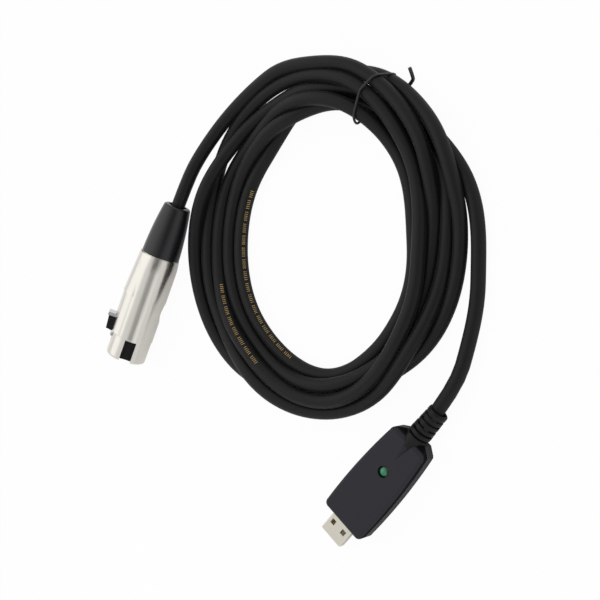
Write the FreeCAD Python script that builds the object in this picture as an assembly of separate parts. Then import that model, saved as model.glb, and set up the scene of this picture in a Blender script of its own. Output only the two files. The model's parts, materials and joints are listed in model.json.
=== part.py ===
"""Microphone cable with a three-pole audio connector at one end and a USB-A audio adapter at the other.

The cable is wound into a flat coil held by a wire tie. Millimetres, +Z up, Z = 0 is the table.
The origin is under the middle of the two connectors, on the table.
"""
import math
import os

import FreeCAD
import Part

Vector = FreeCAD.Vector
Rotation = FreeCAD.Rotation
Placement = FreeCAD.Placement

# Cable
CABLE_D = 6.4
CABLE_R = CABLE_D / 2
CORE_D = 1.3
RUN_GAP = 0.15
XLR_LEAD_BEND = (-24.55, 118.63, 5.6)
USB_LEAD_BEND = (98.05, 15.13)
XLR_LEAD_STRAIGHT = 20.0
USB_LEAD_STRAIGHT = 16.8

# Coil: a spiral in two layers, run through the four quarter stations of each turn
COIL_X = 31.05
COIL_Y = 57.93
COIL_TURNS = 5.25
SPIRAL_STEP = 0.4
TOP_RHO = 60.0
TOP_SPREAD = 17.5
RIGHT_RHO = 41.5
RIGHT_SPREAD = 29.1
FRONT_RHO = 60.0
FRONT_SPREAD = 22.6
LEFT_RHO = 48.0
LEFT_SPREAD = 27.5
LAYER_GAP = 0.5
LAYER = CABLE_D + LAYER_GAP

# Wire tie round the bundle
TIE_D = 1.3
TIE_LIFT = TIE_D + 0.7
TIE_BEND = 2.4
TIE_SHOULDER = 4.2
TIE_SLOPE = 0.16
TIE_IN = (46.75, 110.83)
TIE_OUT = (67.35, 128.53)
TIE_TAIL = ((69.35, 130.03), (71.05, 124.23))

# Audio connector, measured along its axis from the rear rim of the boot
XLR_REAR = (-48.19, 74.88)
XLR_HEADING = -114.05
XLR_ROLL = -38.0
SHELL_R = 9.9
SHELL_WALL = 1.8
SHELL_BACK_R = 9.25
THUMB_HOLLOW = 0.85
THUMB_LENGTH = 10.4
THUMB_FROM_MOUTH = 27.0
NOSE_R = 9.6
BOOT_LENGTH = 25.0
BOOT_REAR_R = 6.5
BOOT_FRONT_R = 9.1
BOOT_RIM_ROUND = 1.2
BOOT_MOUTH_R = 4.3
JOINT_GROOVE = 0.4
SHELL_LENGTH = 53.6
NOSE_LENGTH = 11.0
MOUTH_ROUND = 1.1
SPIGOT_R = 7.2
SPIGOT_LENGTH = 6.5
SPIGOT_WALL = 1.2
INSERT_LENGTH = 27.8
INSERT_RECESS = 0.8
INSERT_SCREW_BACK = 8.0
KEYWAY_WIDTH = 5.5
KEY_GROOVE = 3.0
PIN_CIRCLE_R = 4.04
SOCKET_BORE_R = 1.22
SOCKET_WALL = 0.38
SOCKET_DEPTH = 14.0
CUP_LENGTH = 5.0
CLAMP_LENGTH = 11.0
CLAMP_R = 5.6
CABLE_IN_BOOT = 20.0

# Latch on the side of the audio connector
LATCH_PIVOT_IN = 2.0
LATCH_FROM_MOUTH = 8.0
LATCH_WIDTH = 4.4
LATCH_PLATE = 1.0
LATCH_PLATE_R = 7.3
LATCH_HOOK_R = 10.6
LATCH_HOOK = 1.7
LATCH_STOP_FROM_MOUTH = 19.0
LATCH_STOP_R = 14.4
LATCH_STOP_T = 1.6
BUTTON_LENGTH = 6.8
BUTTON_WIDTH = 5.6
BUTTON_TOP_R = 13.9
BUTTON_FRONT_DROP = 0.5
LATCH_PIN_R = 0.6
LATCH_PIN_CLEAR = 0.05
LATCH_BARREL_WALL = 0.3
LATCH_CLEAR = 0.3
LATCH_SPRING_REACH = 9.0
PAD_R = 11.0
PAD_OWN_R = 8.6
PAD_STEP = 0.3
PAD_RISE = 21.0

# USB adapter, measured back from the housing face that the plug stands on
USB_FACE = (40.40, -65.12)
USB_HEADING = -132.0
CASE_LENGTH = 51.5
CASE_WIDTH = 22.8
CASE_BOW = 0.35
CASE_HEIGHT = 10.6
CASE_WALL = 1.5
CASE_CORNER = 2.4
CASE_TAPER = 1.5
CASE_SHOULDER = 3.0
CASE_SHOULDER_R = 2.2
CASE_END_HALF = 5.6
CASE_END_R = 1.2
CASE_TOP_ROUND = 1.6
CASE_FOOT_ROUND = 1.0
CASE_SEAM = 7.0
SEAM_GROOVE = 0.4
BEVEL_LENGTH = 3.5
BEVEL_TURN = 1.5
BEVEL_DROP = 1.2
END_DROP = 4.6
VALLEY_LENGTH = 12.0
VALLEY_WIDTH = 6.6
VALLEY_DEPTH = 1.3
VALLEY_LEAN = 0.7
END_WALL = 5.0
LED_SHARE = 0.73
LENS_R = 2.2
LENS_CLEAR = 0.4
LENS_SINK = 0.8
LENS_FLANGE = 0.6
PLUG_WIDTH = 12.0
PLUG_HEIGHT = 4.5
PLUG_WALL = 0.3
PLUG_OUT = 10.0
PLUG_IN = 7.0
PLUG_WINDOW = 2.3
PLUG_WINDOW_PITCH = 6.4
PLUG_WINDOW_BACK = 6.0
TONGUE_HEIGHT = 1.85
CONTACT_WIDTH = 1.1
CONTACT_PITCH = 2.5
BOARD_THICKNESS = 1.2
BOARD_LIFT = 1.8
BOARD_MARGIN = 1.2
BOARD_TO_WIRES = 3.0
CHIP_SHARE = 0.422
CRYSTAL_SHARE = 0.224
REAR_CAN_SHARE = 0.583
RESISTOR_SHARE = 0.842
RESISTOR_PITCH = 0.086
RELIEF_LENGTH = 16.9
RELIEF_BASE_R = 5.2
RELIEF_RIM_R = 4.6
RELIEF_COLLAR = 1.7
RELIEF_RINGS = 6
RELIEF_SLOT = 1.0
RELIEF_WALL = 0.5
RELIEF_WEB = 2.4
RELIEF_WEB_TILT = -25.0
RELIEF_BLOCK_LOW = 1.2
RELIEF_BLOCK_LEAD = 0.3
RELIEF_NECK_R = 3.85
RELIEF_FLANGE = 13.0
SEAT_GAP = 0.1
CABLE_PAST_WALL = 3.3
CRIMP_LENGTH = 1.5

# Values that follow from the sizes above
AXIS_Z = SHELL_R
XLR_LENGTH = BOOT_LENGTH + SHELL_LENGTH
NOSE_START = XLR_LENGTH - NOSE_LENGTH
BORE_R = SHELL_R - SHELL_WALL
INSERT_R = BORE_R - 0.1
INSERT_FRONT = XLR_LENGTH - INSERT_RECESS
INSERT_BACK = INSERT_FRONT - INSERT_LENGTH
SCREW_X = INSERT_BACK + INSERT_SCREW_BACK
SOCKET_R = SOCKET_BORE_R + SOCKET_WALL
SPIGOT_END = BOOT_LENGTH - SPIGOT_LENGTH
LATCH_PIVOT = INSERT_BACK + LATCH_PIVOT_IN
LATCH_STOP = XLR_LENGTH - LATCH_STOP_FROM_MOUTH
LATCH_TIP = XLR_LENGTH - LATCH_FROM_MOUTH
PLATE_TOP_R = LATCH_PLATE_R + LATCH_PLATE
BUTTON_START = LATCH_STOP + LATCH_STOP_T / 2 + 0.1
BUTTON_END = BUTTON_START + BUTTON_LENGTH
LATCH_FLOOR_R = LATCH_PLATE_R - 1.25
PIN_HALF = math.sqrt(INSERT_R ** 2 - LATCH_PLATE_R ** 2) - 0.15
USB_Z = CASE_HEIGHT / 2
BOARD_TOP = CASE_WALL + BOARD_LIFT + BOARD_THICKNESS
BLOCK_FRONT = -CASE_LENGTH + BEVEL_LENGTH - RELIEF_BLOCK_LEAD
WALL_FRONT = -CASE_LENGTH + END_WALL
CABLE_IN_CASE = -WALL_FRONT - CABLE_PAST_WALL
BOARD_BACK = CABLE_IN_CASE - BOARD_TO_WIRES
BOARD_FRONT = PLUG_IN + 0.2
LED_BACK = BOARD_FRONT + LED_SHARE * (BOARD_BACK - BOARD_FRONT)

XLR_PLACE = Placement(
    Vector(XLR_REAR[0], XLR_REAR[1], AXIS_Z),
    Rotation(Vector(0, 0, 1), XLR_HEADING).multiply(Rotation(Vector(1, 0, 0), XLR_ROLL)),
)
USB_PLACE = Placement(Vector(USB_FACE[0], USB_FACE[1], 0), Rotation(Vector(0, 0, 1), USB_HEADING))


# General shapes
def cylinder(radius, start, end, y=0.0, z=0.0):
    """Cylinder along the local X axis from start to end."""
    return Part.makeCylinder(radius, end - start, Vector(start, y, z), Vector(1, 0, 0))


def cone(radius_start, radius_end, start, end, y=0.0, z=0.0):
    """Cone frustum along the local X axis."""
    return Part.makeCone(radius_start, radius_end, end - start, Vector(start, y, z), Vector(1, 0, 0))


def box(x0, x1, y0, y1, z0, z1):
    """Box between two corners."""
    return Part.makeBox(x1 - x0, y1 - y0, z1 - z0, Vector(x0, y0, z0))


def revolved(edges):
    """Solid of revolution about the local X axis from a closed profile in the XZ plane."""
    face = Part.Face(Part.Wire(edges))
    return face.revolve(Vector(0, 0, 0), Vector(1, 0, 0), 360)


def line(a, b):
    """Straight profile edge between two (along, radius) points."""
    return Part.LineSegment(Vector(a[0], 0, a[1]), Vector(b[0], 0, b[1])).toShape()


def bow(a, middle, b):
    """Curved profile edge through three (along, radius) points."""
    points = [Vector(p[0], 0, p[1]) for p in (a, middle, b)]
    return Part.Arc(*points).toShape()


def chain(points):
    """Straight profile edges through a list of (along, radius) points."""
    return [line(a, b) for a, b in zip(points, points[1:])]


def prism(points, width):
    """Flat outline of (along, radius) points on the latch side, made solid across the local Z axis."""
    corners = [Vector(s, -r, -width / 2) for s, r in points]
    face = Part.Face(Part.makePolygon(corners + corners[:1]))
    return face.extrude(Vector(0, 0, width))


def save(name, shape, place=None):
    """Put a piece where it belongs and write its file."""
    piece = shape.copy()
    if place is not None:
        piece.Placement = place.multiply(piece.Placement)
    piece.exportStep("parts/" + name + ".step")
    volume = sum(solid.Volume for solid in piece.Solids)
    print(name, "solids", len(piece.Solids), "valid", piece.isValid(), "volume %.1f" % volume)
    PIECES[name] = piece
    return piece


# Cable paths
def arc_edge(start, tangent, end):
    """Arc from start, leaving along the tangent, to end."""
    chord = end - start
    along = Vector(chord).normalize()
    side = tangent - along * tangent.dot(along)
    if side.Length < 1e-7:
        return Part.LineSegment(start, end).toShape()
    angle = tangent.getAngle(chord)
    middle = (start + end) * 0.5 + side.normalize() * (chord.Length / 2 * math.tan(angle / 2))
    return Part.Arc(start, middle, end).toShape()


def biarc(start, tangent_in, end, tangent_out):
    """Two arcs that join start to end with the given directions."""
    chord = end - start
    both = tangent_in + tangent_out
    a = 2 * (1 - tangent_in.dot(tangent_out))
    b = chord.dot(both)
    reach = (math.sqrt(b * b + a * chord.dot(chord)) - b) / a
    first = start + tangent_in * reach
    second = end - tangent_out * reach
    joint = (first + second) * 0.5
    heading = (second - first).normalize()
    return [arc_edge(start, tangent_in, joint), arc_edge(joint, heading, end)]


def rounded_route(points, limits=None, share=0.45):
    """Straight runs through the points joined by tangent arcs. Returns the edges and the radii.

    The limits give the largest radius at a corner, by the corner's number.
    """
    limits = limits or {}
    corners = [Vector(*p) for p in points]
    edges = []
    radii = []
    here = corners[0]
    for number, (before, corner, after) in enumerate(zip(corners, corners[1:], corners[2:]), start=1):
        into = (corner - before).normalize()
        out = (after - corner).normalize()
        half_turn = into.getAngle(out) / 2
        cut = share * min((corner - before).Length, (after - corner).Length)
        if number in limits:
            cut = min(cut, limits[number] * math.tan(half_turn))
        radii.append(cut / math.tan(half_turn))
        start = corner - into * cut
        end = corner + out * cut
        edges.append(Part.LineSegment(here, start).toShape())
        edges.append(arc_edge(start, into, end))
        here = end
    edges.append(Part.LineSegment(here, corners[-1]).toShape())
    return edges, radii


def tube(edges, radius):
    """Round solid that follows a smooth chain of edges."""
    path = Part.Wire(edges)
    first = edges[0]
    start = first.valueAt(first.FirstParameter)
    heading = first.tangentAt(first.FirstParameter)
    ring = Part.Wire([Part.Circle(start, heading, radius).toShape()])
    return path.makePipeShell([ring], True, False)


def report_tube(name, solid, edges, radius, radii):
    """Print the length, the radii and how the volume compares with section times length."""
    length = sum(edge.Length for edge in edges)
    ratio = solid.Volume / (math.pi * radius * radius * length)
    print(name, "length %.1f" % length, "volume ratio %.4f" % ratio)
    if radii:
        print(name, "radii", ["%.1f" % r for r in radii])


# Coil
def station(quarter):
    """Place and direction of the cable at a quarter turn, counted from the outer upper end."""
    turn = quarter / 4
    reverse = (COIL_TURNS - 0.75) / 2
    layer_down = reverse + 0.5
    if turn <= reverse:
        level = 1.0
        spread = 0.05 + SPIRAL_STEP * (reverse - turn)
    elif turn < layer_down:
        level = 0.5
        spread = 0.0
    else:
        level = 0.0
        spread = SPIRAL_STEP * (turn - layer_down)
    sides = (
        (TOP_RHO, TOP_SPREAD, TIE_LIFT),
        (RIGHT_RHO, RIGHT_SPREAD, 0.0),
        (FRONT_RHO, FRONT_SPREAD, 0.0),
        (LEFT_RHO, LEFT_SPREAD, 0.0),
    )
    rho, widen, lift = sides[quarter % 4]
    reach = rho + widen * spread
    angle = math.pi / 2 * (1 - quarter)
    height = CABLE_R + lift + level * LAYER
    place = Vector(COIL_X + reach * math.cos(angle), COIL_Y + reach * math.sin(angle), height)
    heading = Vector(math.sin(angle), -math.cos(angle), 0)
    return place, heading


def coil_edges():
    """The cable's line through every quarter station, with a straight end each side."""
    count = round(COIL_TURNS * 4)
    stations = [station(k) for k in range(count + 1)]
    place, heading = stations[0]
    edges = [Part.LineSegment(place - heading * CABLE_D, place).toShape()]
    for (p, t), (q, u) in zip(stations, stations[1:]):
        edges += biarc(p, t, q, u)
    place, heading = stations[-1]
    edges.append(Part.LineSegment(place, place + heading * CABLE_D).toShape())
    return edges


def least_gap(edges, spacing=2.0):
    """Least distance between the cable's surface and itself, away from its own neighbourhood."""
    points = []
    walked = 0.0
    for edge in edges:
        steps = max(1, round(edge.Length / spacing))
        low, high = edge.FirstParameter, edge.LastParameter
        for i in range(steps):
            points.append((walked + edge.Length * i / steps, edge.valueAt(low + (high - low) * i / steps)))
        walked += edge.Length
    best = 1e9
    for i, (s, p) in enumerate(points):
        for r, q in points[i + 1:]:
            if r - s > 6 * CABLE_D:
                best = min(best, (p - q).Length)
    return best - CABLE_D


def xlr_point(along, z=0.0):
    """Point on the audio connector's axis in the part's frame."""
    return XLR_PLACE.multVec(Vector(along, 0, z))


def usb_point(back):
    """Point on the adapter's axis in the part's frame."""
    return USB_PLACE.multVec(Vector(-back, 0, USB_Z))


def build_cable():
    """The coil, the lead to each connector and the tie."""
    edges = coil_edges()
    coil = tube(edges, CABLE_R)
    save("cable_coil", coil)
    report_tube("cable_coil", coil, edges, CABLE_R, None)
    print("cable_coil least gap to itself %.2f" % least_gap(edges))

    start, heading = station(0)
    start = start - heading * CABLE_D
    points = [
        xlr_point(CABLE_IN_BOOT),
        xlr_point(-12.0),
        Vector(XLR_LEAD_BEND[0], XLR_LEAD_BEND[1], XLR_LEAD_BEND[2]),
        start - heading * XLR_LEAD_STRAIGHT,
        start,
    ]
    lead, radii = rounded_route(points)
    solid = tube(lead, CABLE_R)
    save("cable_xlr_lead", solid)
    report_tube("cable_xlr_lead", solid, lead, CABLE_R, radii)

    end, heading = station(round(COIL_TURNS * 4))
    end = end + heading * CABLE_D
    points = [
        end,
        end + heading * USB_LEAD_STRAIGHT,
        Vector(USB_LEAD_BEND[0], USB_LEAD_BEND[1], CABLE_R),
        usb_point(CASE_LENGTH + RELIEF_LENGTH + 8.5),
        usb_point(CABLE_IN_CASE),
    ]
    lead, radii = rounded_route(points, {3: 5.5 * CABLE_D})
    solid = tube(lead, CABLE_R)
    save("cable_usb_lead", solid)
    report_tube("cable_usb_lead", solid, lead, CABLE_R, radii)
    build_tie()


def build_tie():
    """Thin wire once round the bundle, with one tail left on the table."""
    low = TIE_D / 2
    high = 2 * CABLE_D + LAYER_GAP + TIE_LIFT + TIE_D / 2 + RUN_GAP
    inner = Vector(TIE_IN[0], TIE_IN[1], low)
    outer = Vector(TIE_OUT[0], TIE_OUT[1], low)
    across = outer - inner
    shoulder = Vector(0, 0, high - low - TIE_SHOULDER)
    points = [
        (TIE_TAIL[1][0], TIE_TAIL[1][1], low),
        (TIE_TAIL[0][0], TIE_TAIL[0][1], low),
        outer + shoulder,
        outer - across * TIE_SLOPE / 2 + Vector(0, 0, high - low),
        inner + across * TIE_SLOPE + Vector(0, 0, high - low),
        inner + shoulder,
        inner,
        outer - across.normalize() * TIE_D * 1.3,
    ]
    edges, radii = rounded_route(points, {k: TIE_BEND for k in range(1, 7)})
    solid = tube(edges, TIE_D / 2)
    save("twist_tie", solid)
    report_tube("twist_tie", solid, edges, TIE_D / 2, radii)


# Audio connector
def shell_body():
    """Turned outline of the shell with its rear spigot, ledge and nose."""
    back = BOOT_LENGTH + JOINT_GROOVE
    groove_r = SHELL_BACK_R - 0.6
    spigot_in = SPIGOT_R - SPIGOT_WALL
    step = back + 2.6
    edges = [
        *chain([
            (SPIGOT_END, spigot_in),
            (SPIGOT_END, SPIGOT_R),
            (BOOT_LENGTH, SPIGOT_R),
            (BOOT_LENGTH, groove_r),
            (back, groove_r),
            (back, SHELL_BACK_R),
        ]),
        bow((back, SHELL_BACK_R), (back + 3.6, SHELL_R - 0.17), (back + 8.0, SHELL_R)),
        line((back + 8.0, SHELL_R), (NOSE_START - 0.4, SHELL_R)),
        bow((NOSE_START - 0.4, SHELL_R), (NOSE_START - 0.1, SHELL_R - 0.1), (NOSE_START, NOSE_R)),
        line((NOSE_START, NOSE_R), (XLR_LENGTH - MOUTH_ROUND, NOSE_R)),
        bow(
            (XLR_LENGTH - MOUTH_ROUND, NOSE_R),
            (XLR_LENGTH - 0.293 * MOUTH_ROUND, NOSE_R - 0.293 * MOUTH_ROUND),
            (XLR_LENGTH, NOSE_R - MOUTH_ROUND),
        ),
        *chain([
            (XLR_LENGTH, NOSE_R - MOUTH_ROUND),
            (XLR_LENGTH, BORE_R),
            (step, BORE_R),
            (step, spigot_in),
            (SPIGOT_END, spigot_in),
        ]),
    ]
    return revolved(edges)


def latch_pad():
    """Swelling that rises along the latch side of the shell and carries the latch."""
    start = BOOT_LENGTH + 1.0
    crest = start + PAD_RISE
    low = SHELL_R - 0.1 - PAD_OWN_R
    high = PAD_R + PAD_STEP - PAD_OWN_R
    axis = Vector(PAD_RISE, low - high, 0)
    rise = Part.makeCylinder(PAD_OWN_R, axis.Length, Vector(start, -low, 0), axis)
    level = cylinder(PAD_OWN_R, crest - 1.0, NOSE_START - 0.5, PAD_OWN_R - PAD_R)
    return rise.fuse(level).cut(cylinder(SHELL_R - 0.6, 0, XLR_LENGTH))


def thumb_hollow():
    """Wide shallow hollow on the side away from the latch."""
    radius = (THUMB_LENGTH ** 2 / 4 + THUMB_HOLLOW ** 2) / (2 * THUMB_HOLLOW)
    middle = Vector(XLR_LENGTH - THUMB_FROM_MOUTH, SHELL_R - THUMB_HOLLOW + radius, -SHELL_R)
    return Part.makeCylinder(radius, 2 * SHELL_R, middle, Vector(0, 0, 1))


def build_xlr_shell():
    """Metal shell with its latch swelling, latch channel, keyway and screw hole."""
    shell = shell_body().fuse(latch_pad()).removeSplitter().cut(thumb_hollow())
    half = LATCH_WIDTH / 2 + LATCH_CLEAR
    button_half = BUTTON_WIDTH / 2 + LATCH_CLEAR
    channel_top = PLATE_TOP_R + LATCH_CLEAR
    channel = box(LATCH_PIVOT - 1.6, LATCH_TIP + 0.8, -channel_top, -INSERT_R / 2, -half, half)
    pin_seat = box(
        LATCH_PIVOT - 0.9, LATCH_PIVOT + 0.9, -channel_top, -INSERT_R / 2, -PIN_HALF - 0.1, PIN_HALF + 0.1
    )
    window_back = LATCH_STOP - LATCH_STOP_T / 2 - 0.5
    window = box(window_back, BUTTON_END + 0.9, -PAD_R - 1, -INSERT_R / 2, -button_half, button_half)
    hook_window = box(LATCH_TIP - LATCH_HOOK - 0.4, LATCH_TIP + 0.8, -PAD_R, -INSERT_R / 2, -half, half)
    key_half = KEYWAY_WIDTH / 2
    keyway = box(NOSE_START + 0.3, XLR_LENGTH + 1, -key_half, key_half, INSERT_R / 2, NOSE_R + 1)
    screw_hole = Part.makeCylinder(1.15, 4, Vector(SCREW_X, 0, -BORE_R + 1), Vector(0, 0, -1))
    head_seat = Part.makeCone(1.15, 2.1, 1.0, Vector(SCREW_X, 0, -SHELL_R + 0.85), Vector(0, 0, -1))
    for cutter in (channel, pin_seat, window, hook_window, keyway, screw_hole, head_seat):
        shell = shell.cut(cutter)
    save("xlr_shell", shell, XLR_PLACE)


def socket_places():
    """Centres of the three sockets: two beside the keyway and one opposite it."""
    return [(PIN_CIRCLE_R, 0.0), (-PIN_CIRCLE_R, 0.0), (0.0, -PIN_CIRCLE_R)]


def build_xlr_insert():
    """Black insulator that carries the sockets, with the room that the latch needs."""
    insert = cylinder(INSERT_R, INSERT_BACK, INSERT_FRONT)
    rim = insert.Edges[0]
    for edge in insert.Edges:
        box_of_edge = edge.BoundBox
        if box_of_edge.XMin > INSERT_FRONT - 0.01:
            rim = edge
    insert = insert.makeChamfer(0.4, [rim])
    for y, z in socket_places():
        insert = insert.cut(cylinder(SOCKET_R + 0.05, INSERT_BACK - 1, INSERT_FRONT + 1, y, z))
    half = LATCH_WIDTH / 2 + LATCH_CLEAR
    channel = box(INSERT_BACK - 1, LATCH_TIP + 0.8, -INSERT_R - 1, -LATCH_FLOOR_R, -half, half)
    button_half = BUTTON_WIDTH / 2 + LATCH_CLEAR
    room_end = BUTTON_END + 0.9
    button_room = box(LATCH_STOP - 1.4, room_end, -INSERT_R - 1, -LATCH_FLOOR_R, -button_half, button_half)
    seat_half = LATCH_PIN_R + 0.02
    pivot_hole = Part.makeCylinder(
        seat_half, 2 * PIN_HALF + 0.2, Vector(LATCH_PIVOT, -LATCH_PLATE_R, -PIN_HALF - 0.1), Vector(0, 0, 1)
    )
    pivot_slot = box(LATCH_PIVOT - seat_half, LATCH_PIVOT + seat_half, -INSERT_R - 1, -LATCH_PLATE_R,
                     -PIN_HALF - 0.1, PIN_HALF + 0.1)
    pivot_seat = pivot_hole.fuse(pivot_slot).removeSplitter()
    key_half = KEY_GROOVE / 2
    groove = box(NOSE_START + 1, INSERT_FRONT + 1, -key_half, key_half, INSERT_R - 0.9, INSERT_R + 1)
    spring_seat = box(INSERT_FRONT - 12.0, INSERT_FRONT - 3.4, INSERT_R - 1.1, INSERT_R + 1, -1.8, 1.8)
    screw_hole = Part.makeCylinder(0.95, 2.2, Vector(SCREW_X, 0, -INSERT_R - 0.1), Vector(0, 0, 1))
    for cutter in (channel, button_room, pivot_seat, groove, spring_seat, screw_hole):
        insert = insert.cut(cutter)
    save("xlr_insert", insert, XLR_PLACE)

    height = INSERT_R - 1.1
    crest = BORE_R - 0.3
    leaf = [
        (INSERT_FRONT - 11.8, height),
        (INSERT_FRONT - 10.2, height),
        (INSERT_FRONT - 7.7, crest - 0.3),
        (INSERT_FRONT - 5.2, height),
        (INSERT_FRONT - 3.6, height),
        (INSERT_FRONT - 3.6, height + 0.3),
        (INSERT_FRONT - 5.1, height + 0.3),
        (INSERT_FRONT - 7.7, crest),
        (INSERT_FRONT - 10.3, height + 0.3),
        (INSERT_FRONT - 11.8, height + 0.3),
    ]
    spring = prism([(s, -r) for s, r in leaf], 3.2)
    save("xlr_ground_spring", spring, XLR_PLACE)

    shank = Part.makeCylinder(0.9, 3.0, Vector(SCREW_X, 0, -SHELL_R + 1.0), Vector(0, 0, 1))
    head = Part.makeCone(0.9, 1.75, 0.8, Vector(SCREW_X, 0, -SHELL_R + 1.0), Vector(0, 0, -1))
    slot = box(SCREW_X - 2.2, SCREW_X + 2.2, -0.2, 0.2, -SHELL_R - 0.1, -SHELL_R + 0.5)
    save("xlr_insert_screw", shank.fuse(head).cut(slot).removeSplitter(), XLR_PLACE)


def build_xlr_contacts():
    """Three tubular sockets with solder cups at the back."""
    front = INSERT_FRONT - 0.5
    for number, (y, z) in enumerate(socket_places(), start=1):
        body = cylinder(SOCKET_R, INSERT_BACK, front, y, z)
        body = body.fuse(cylinder(SOCKET_R - 0.1, INSERT_BACK - CUP_LENGTH, INSERT_BACK, y, z))
        body = body.cut(cylinder(SOCKET_BORE_R, front - SOCKET_DEPTH, front + 1, y, z))
        body = body.cut(cylinder(CORE_D / 2 + 0.2, INSERT_BACK - CUP_LENGTH - 1, INSERT_BACK - 1.5, y, z))
        save("xlr_contact_" + str(number), body.removeSplitter(), XLR_PLACE)


def build_xlr_latch():
    """Latch lever with its hook, finger button, pivot pin and return spring."""
    pivot_x = LATCH_PIVOT
    plate = prism([
        (pivot_x, LATCH_PLATE_R - 0.3),
        (pivot_x, PLATE_TOP_R),
        (LATCH_TIP, PLATE_TOP_R),
        (LATCH_TIP, LATCH_PLATE_R),
        (pivot_x + 3.0, LATCH_PLATE_R),
    ], LATCH_WIDTH)
    hole_r = LATCH_PIN_R + LATCH_PIN_CLEAR
    barrel_foot = Vector(pivot_x, -LATCH_PLATE_R, -LATCH_WIDTH / 2)
    barrel = Part.makeCylinder(hole_r + LATCH_BARREL_WALL, LATCH_WIDTH, barrel_foot, Vector(0, 0, 1))
    hook = prism([
        (LATCH_TIP - LATCH_HOOK, PLATE_TOP_R - 0.2),
        (LATCH_TIP - LATCH_HOOK, LATCH_HOOK_R),
        (LATCH_TIP - 0.6, LATCH_HOOK_R - 0.3),
        (LATCH_TIP, NOSE_R - 0.6),
        (LATCH_TIP, PLATE_TOP_R - 0.2),
    ], LATCH_WIDTH - 1.2)
    stop = prism([
        (LATCH_STOP - LATCH_STOP_T / 2, PLATE_TOP_R - 0.2),
        (LATCH_STOP - LATCH_STOP_T / 2, LATCH_STOP_R),
        (LATCH_STOP + LATCH_STOP_T / 2, LATCH_STOP_R),
        (LATCH_STOP + LATCH_STOP_T / 2, PLATE_TOP_R - 0.2),
    ], BUTTON_WIDTH)
    lever = plate.fuse([barrel, hook, stop]).removeSplitter()
    hole = Part.makeCylinder(hole_r, LATCH_WIDTH + 2, barrel_foot - Vector(0, 0, 1), Vector(0, 0, 1))
    save("xlr_latch", lever.cut(hole), XLR_PLACE)

    button = prism([
        (BUTTON_START, PLATE_TOP_R),
        (BUTTON_START, BUTTON_TOP_R),
        (BUTTON_END - 0.5, BUTTON_TOP_R - BUTTON_FRONT_DROP),
        (BUTTON_END, PAD_R - 0.4),
        (BUTTON_END, PLATE_TOP_R),
    ], BUTTON_WIDTH)
    for i in range(4):
        groove_x = BUTTON_START + 1.3 + 1.25 * i
        top = BUTTON_TOP_R - BUTTON_FRONT_DROP * (groove_x - BUTTON_START) / BUTTON_LENGTH
        button = button.cut(box(groove_x, groove_x + 0.5, -top - 1, -top + 0.35, -BUTTON_WIDTH, BUTTON_WIDTH))
    save("xlr_latch_button", button, XLR_PLACE)

    pin_foot = Vector(pivot_x, -LATCH_PLATE_R, -PIN_HALF)
    pin = Part.makeCylinder(LATCH_PIN_R, 2 * PIN_HALF, pin_foot, Vector(0, 0, 1))
    save("xlr_latch_pin", pin, XLR_PLACE)

    foot = LATCH_FLOOR_R + 0.3
    spring = prism([
        (pivot_x + 2.6, foot + 0.25),
        (pivot_x + 2.6, foot),
        (pivot_x + 3.4, foot),
        (pivot_x + 5.8, LATCH_PLATE_R - 0.25),
        (pivot_x + LATCH_SPRING_REACH, LATCH_PLATE_R - 0.25),
        (pivot_x + LATCH_SPRING_REACH, LATCH_PLATE_R),
        (pivot_x + 5.6, LATCH_PLATE_R),
        (pivot_x + 3.3, foot + 0.25),
    ], 3.0)
    save("xlr_latch_spring", spring, XLR_PLACE)


def build_xlr_boot():
    """Tapered rear boot, open at the rim round the cable, and the cable clamp inside it."""
    clamp_start = SPIGOT_END - CLAMP_LENGTH + 2.0
    rim = BOOT_REAR_R - BOOT_RIM_ROUND
    middle = (BOOT_LENGTH * 0.5, (BOOT_REAR_R + BOOT_FRONT_R) / 2 + 0.35)
    outline = [
        line((0, BOOT_MOUTH_R), (0, rim)),
        bow(
            (0, rim),
            (0.293 * BOOT_RIM_ROUND, BOOT_REAR_R - 0.293 * BOOT_RIM_ROUND),
            (BOOT_RIM_ROUND, BOOT_REAR_R),
        ),
        bow((BOOT_RIM_ROUND, BOOT_REAR_R), middle, (BOOT_LENGTH, BOOT_FRONT_R)),
        *chain([
            (BOOT_LENGTH, BOOT_FRONT_R),
            (BOOT_LENGTH, SPIGOT_R + 0.1),
            (SPIGOT_END - 0.3, SPIGOT_R + 0.1),
            (SPIGOT_END - 0.3, CLAMP_R + 0.2),
            (clamp_start - 0.3, CLAMP_R + 0.2),
            (clamp_start - 0.3, CABLE_R + RUN_GAP),
            (2.8, CABLE_R + RUN_GAP),
            (2.4, BOOT_MOUTH_R),
            (0, BOOT_MOUTH_R),
        ]),
    ]
    save("xlr_boot", revolved(outline), XLR_PLACE)

    clamp_end = clamp_start + CLAMP_LENGTH
    clamp = cylinder(CLAMP_R, clamp_start, clamp_end)
    clamp = clamp.cut(cylinder(CABLE_R + RUN_GAP, clamp_start - 1, clamp_end + 1))
    for angle in (0, 90):
        slit = box(clamp_start - 1, clamp_end - 3.0, -CLAMP_R - 1, CLAMP_R + 1, -0.4, 0.4)
        slit.rotate(Vector(0, 0, 0), Vector(1, 0, 0), angle)
        clamp = clamp.cut(slit)
    save("xlr_cable_clamp", clamp, XLR_PLACE)


def build_xlr_wires():
    """The three cores from the cable's end to the solder cups."""
    names = ("xlr_wire_hot", "xlr_wire_cold", "xlr_wire_drain")
    spread = CABLE_R - CORE_D
    end = INSERT_BACK - 1.6
    for name, (y, z) in zip(names, socket_places()):
        scale = spread / PIN_CIRCLE_R
        path = [
            (CABLE_IN_BOOT, y * scale, z * scale),
            (CABLE_IN_BOOT + 7.0, y * scale, z * scale),
            (INSERT_BACK - CUP_LENGTH - 4.0, y, z),
            (end, y, z),
        ]
        edges, radii = rounded_route(path)
        save(name, tube(edges, CORE_D / 2), XLR_PLACE)


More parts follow.
